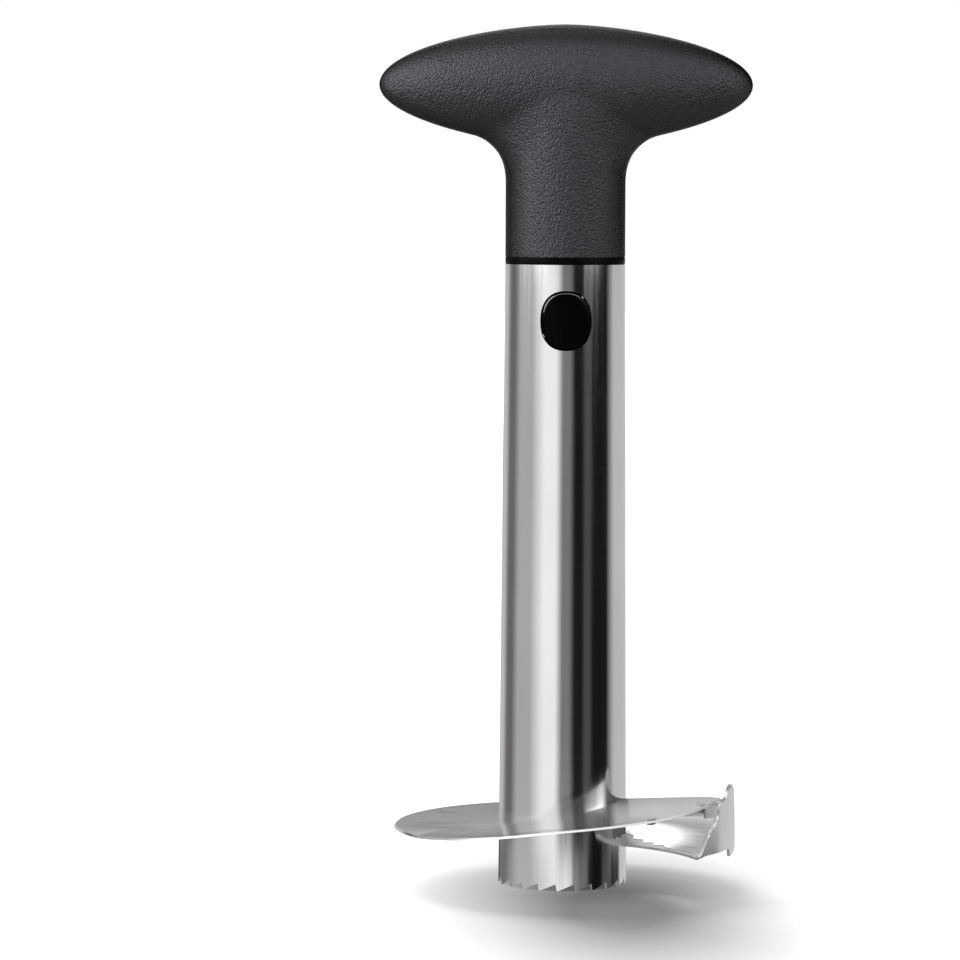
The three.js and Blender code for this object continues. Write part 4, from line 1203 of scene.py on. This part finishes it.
def make_reflector():
    """A round studio room that only reflections see: grey and black cards between pale cloth."""
    profile = [(0, WALL_FOOT), (WALL_RADIUS, WALL_FOOT), (WALL_RADIUS, WALL_TOP), (0, WALL_TOP)]
    bm = turned(profile, 180, closed=False)
    material, nodes, links, shader = new_material("studio_cards")
    split = nodes.new("ShaderNodeSeparateXYZ")
    links.new(placed(nodes, links, (1, -1, 1)), split.inputs[0])
    height = split.outputs["Z"]
    turn = sum_of(nodes, links, "ARCTAN2", split.outputs["X"], split.outputs["Y"])
    around = spread(nodes, links, turn, -180, 180, -math.pi, math.pi)
    front = None
    for heights, cards in WALL_ROWS:
        stops = [(angle, level) for first, last, level in cards for angle in (first, last)]
        row = graded(nodes, links, around, stops, -180, 180)
        share = spread(nodes, links, height, 0, 1, *heights)
        front = row if front is None else blended(nodes, links, share, front, row)
    cloth = graded(nodes, links, height, BACK_CLOTH, BACK_CLOTH[0][0], BACK_CLOTH[-1][0])
    behind = spread(nodes, links, sum_of(nodes, links, "ABSOLUTE", around), 0, 1, *CLOTH_EDGE)
    glow = nodes.new("ShaderNodeEmission")
    glow.inputs["Strength"].default_value = WALL_WHITE
    links.new(blended(nodes, links, behind, front, cloth), glow.inputs["Color"])
    links.new(glow.outputs[0], nodes["Material Output"].inputs["Surface"])
    wall = link_mesh("studio_wall", bm, material)
    wall.visible_camera = False
    wall.visible_diffuse = False
    wall.visible_shadow = False
    wall.visible_transmission = False
    wall.visible_volume_scatter = False


def make_lights():
    world = bpy.data.worlds.new("studio")
    bpy.context.scene.world = world
    world.use_nodes = True
    nodes, links = world.node_tree.nodes, world.node_tree.links
    back = nodes["Background"]
    path = nodes.new("ShaderNodeLightPath")
    shown = sum_of(nodes, links, "MAXIMUM", path.outputs["Is Camera Ray"], path.outputs["Is Glossy Ray"])
    shown = sum_of(nodes, links, "MAXIMUM", shown, path.outputs["Is Transmission Ray"])
    level = spread(nodes, links, shown, WORLD_LEVEL, 1.0, 0, 1)
    links.new(level, back.inputs["Strength"])
    back.inputs["Color"].default_value = (1, 1, 1, 1)

    def lamp(name, kind, place):
        data = bpy.data.lights.new(name, kind)
        lamp_object = bpy.data.objects.new(name, data)
        lamp_object.location = place
        aim = Vector((0, 0, 0.12)) - Vector(place)
        lamp_object.rotation_euler = aim.to_track_quat("-Z", "Y").to_euler()
        bpy.context.scene.collection.objects.link(lamp_object)
        return lamp_object, data

    key_lamp, key = lamp("key_behind", "SUN", KEY_FROM)
    key_lamp.visible_glossy = False
    key.energy = KEY_STRENGTH
    key.angle = math.radians(KEY_ANGLE)
    for name, (place, size, power) in FILLS.items():
        _, fill = lamp(name, "AREA", place)
        fill.shape = "RECTANGLE"
        fill.size, fill.size_y = size
        fill.energy = power


make_camera()
make_core_tube()
make_ring_blade()
for rivet_name, rivet_angle in RIVET_ANGLES.items():
    make_rivet(rivet_name, rivet_angle)
make_side_blade()
make_shank_plug()
make_end_cap()
make_latch("front_button_arm", False)
make_latch("rear_button_arm", True)
make_grip_shells()
for screw_name, (screw_x, screw_z) in GRIP_SCREWS.items():
    make_grip_screw(screw_name, screw_x, screw_z)
for node in ("retaining_pin", "front_latch_screw", "rear_latch_screw"):
    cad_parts[node].data.materials.clear()
    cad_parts[node].data.materials.append(FASTENER_STEEL)
make_floor()
make_reflector()
make_lights()

scene = bpy.context.scene
scene.view_settings.view_transform = "Standard"
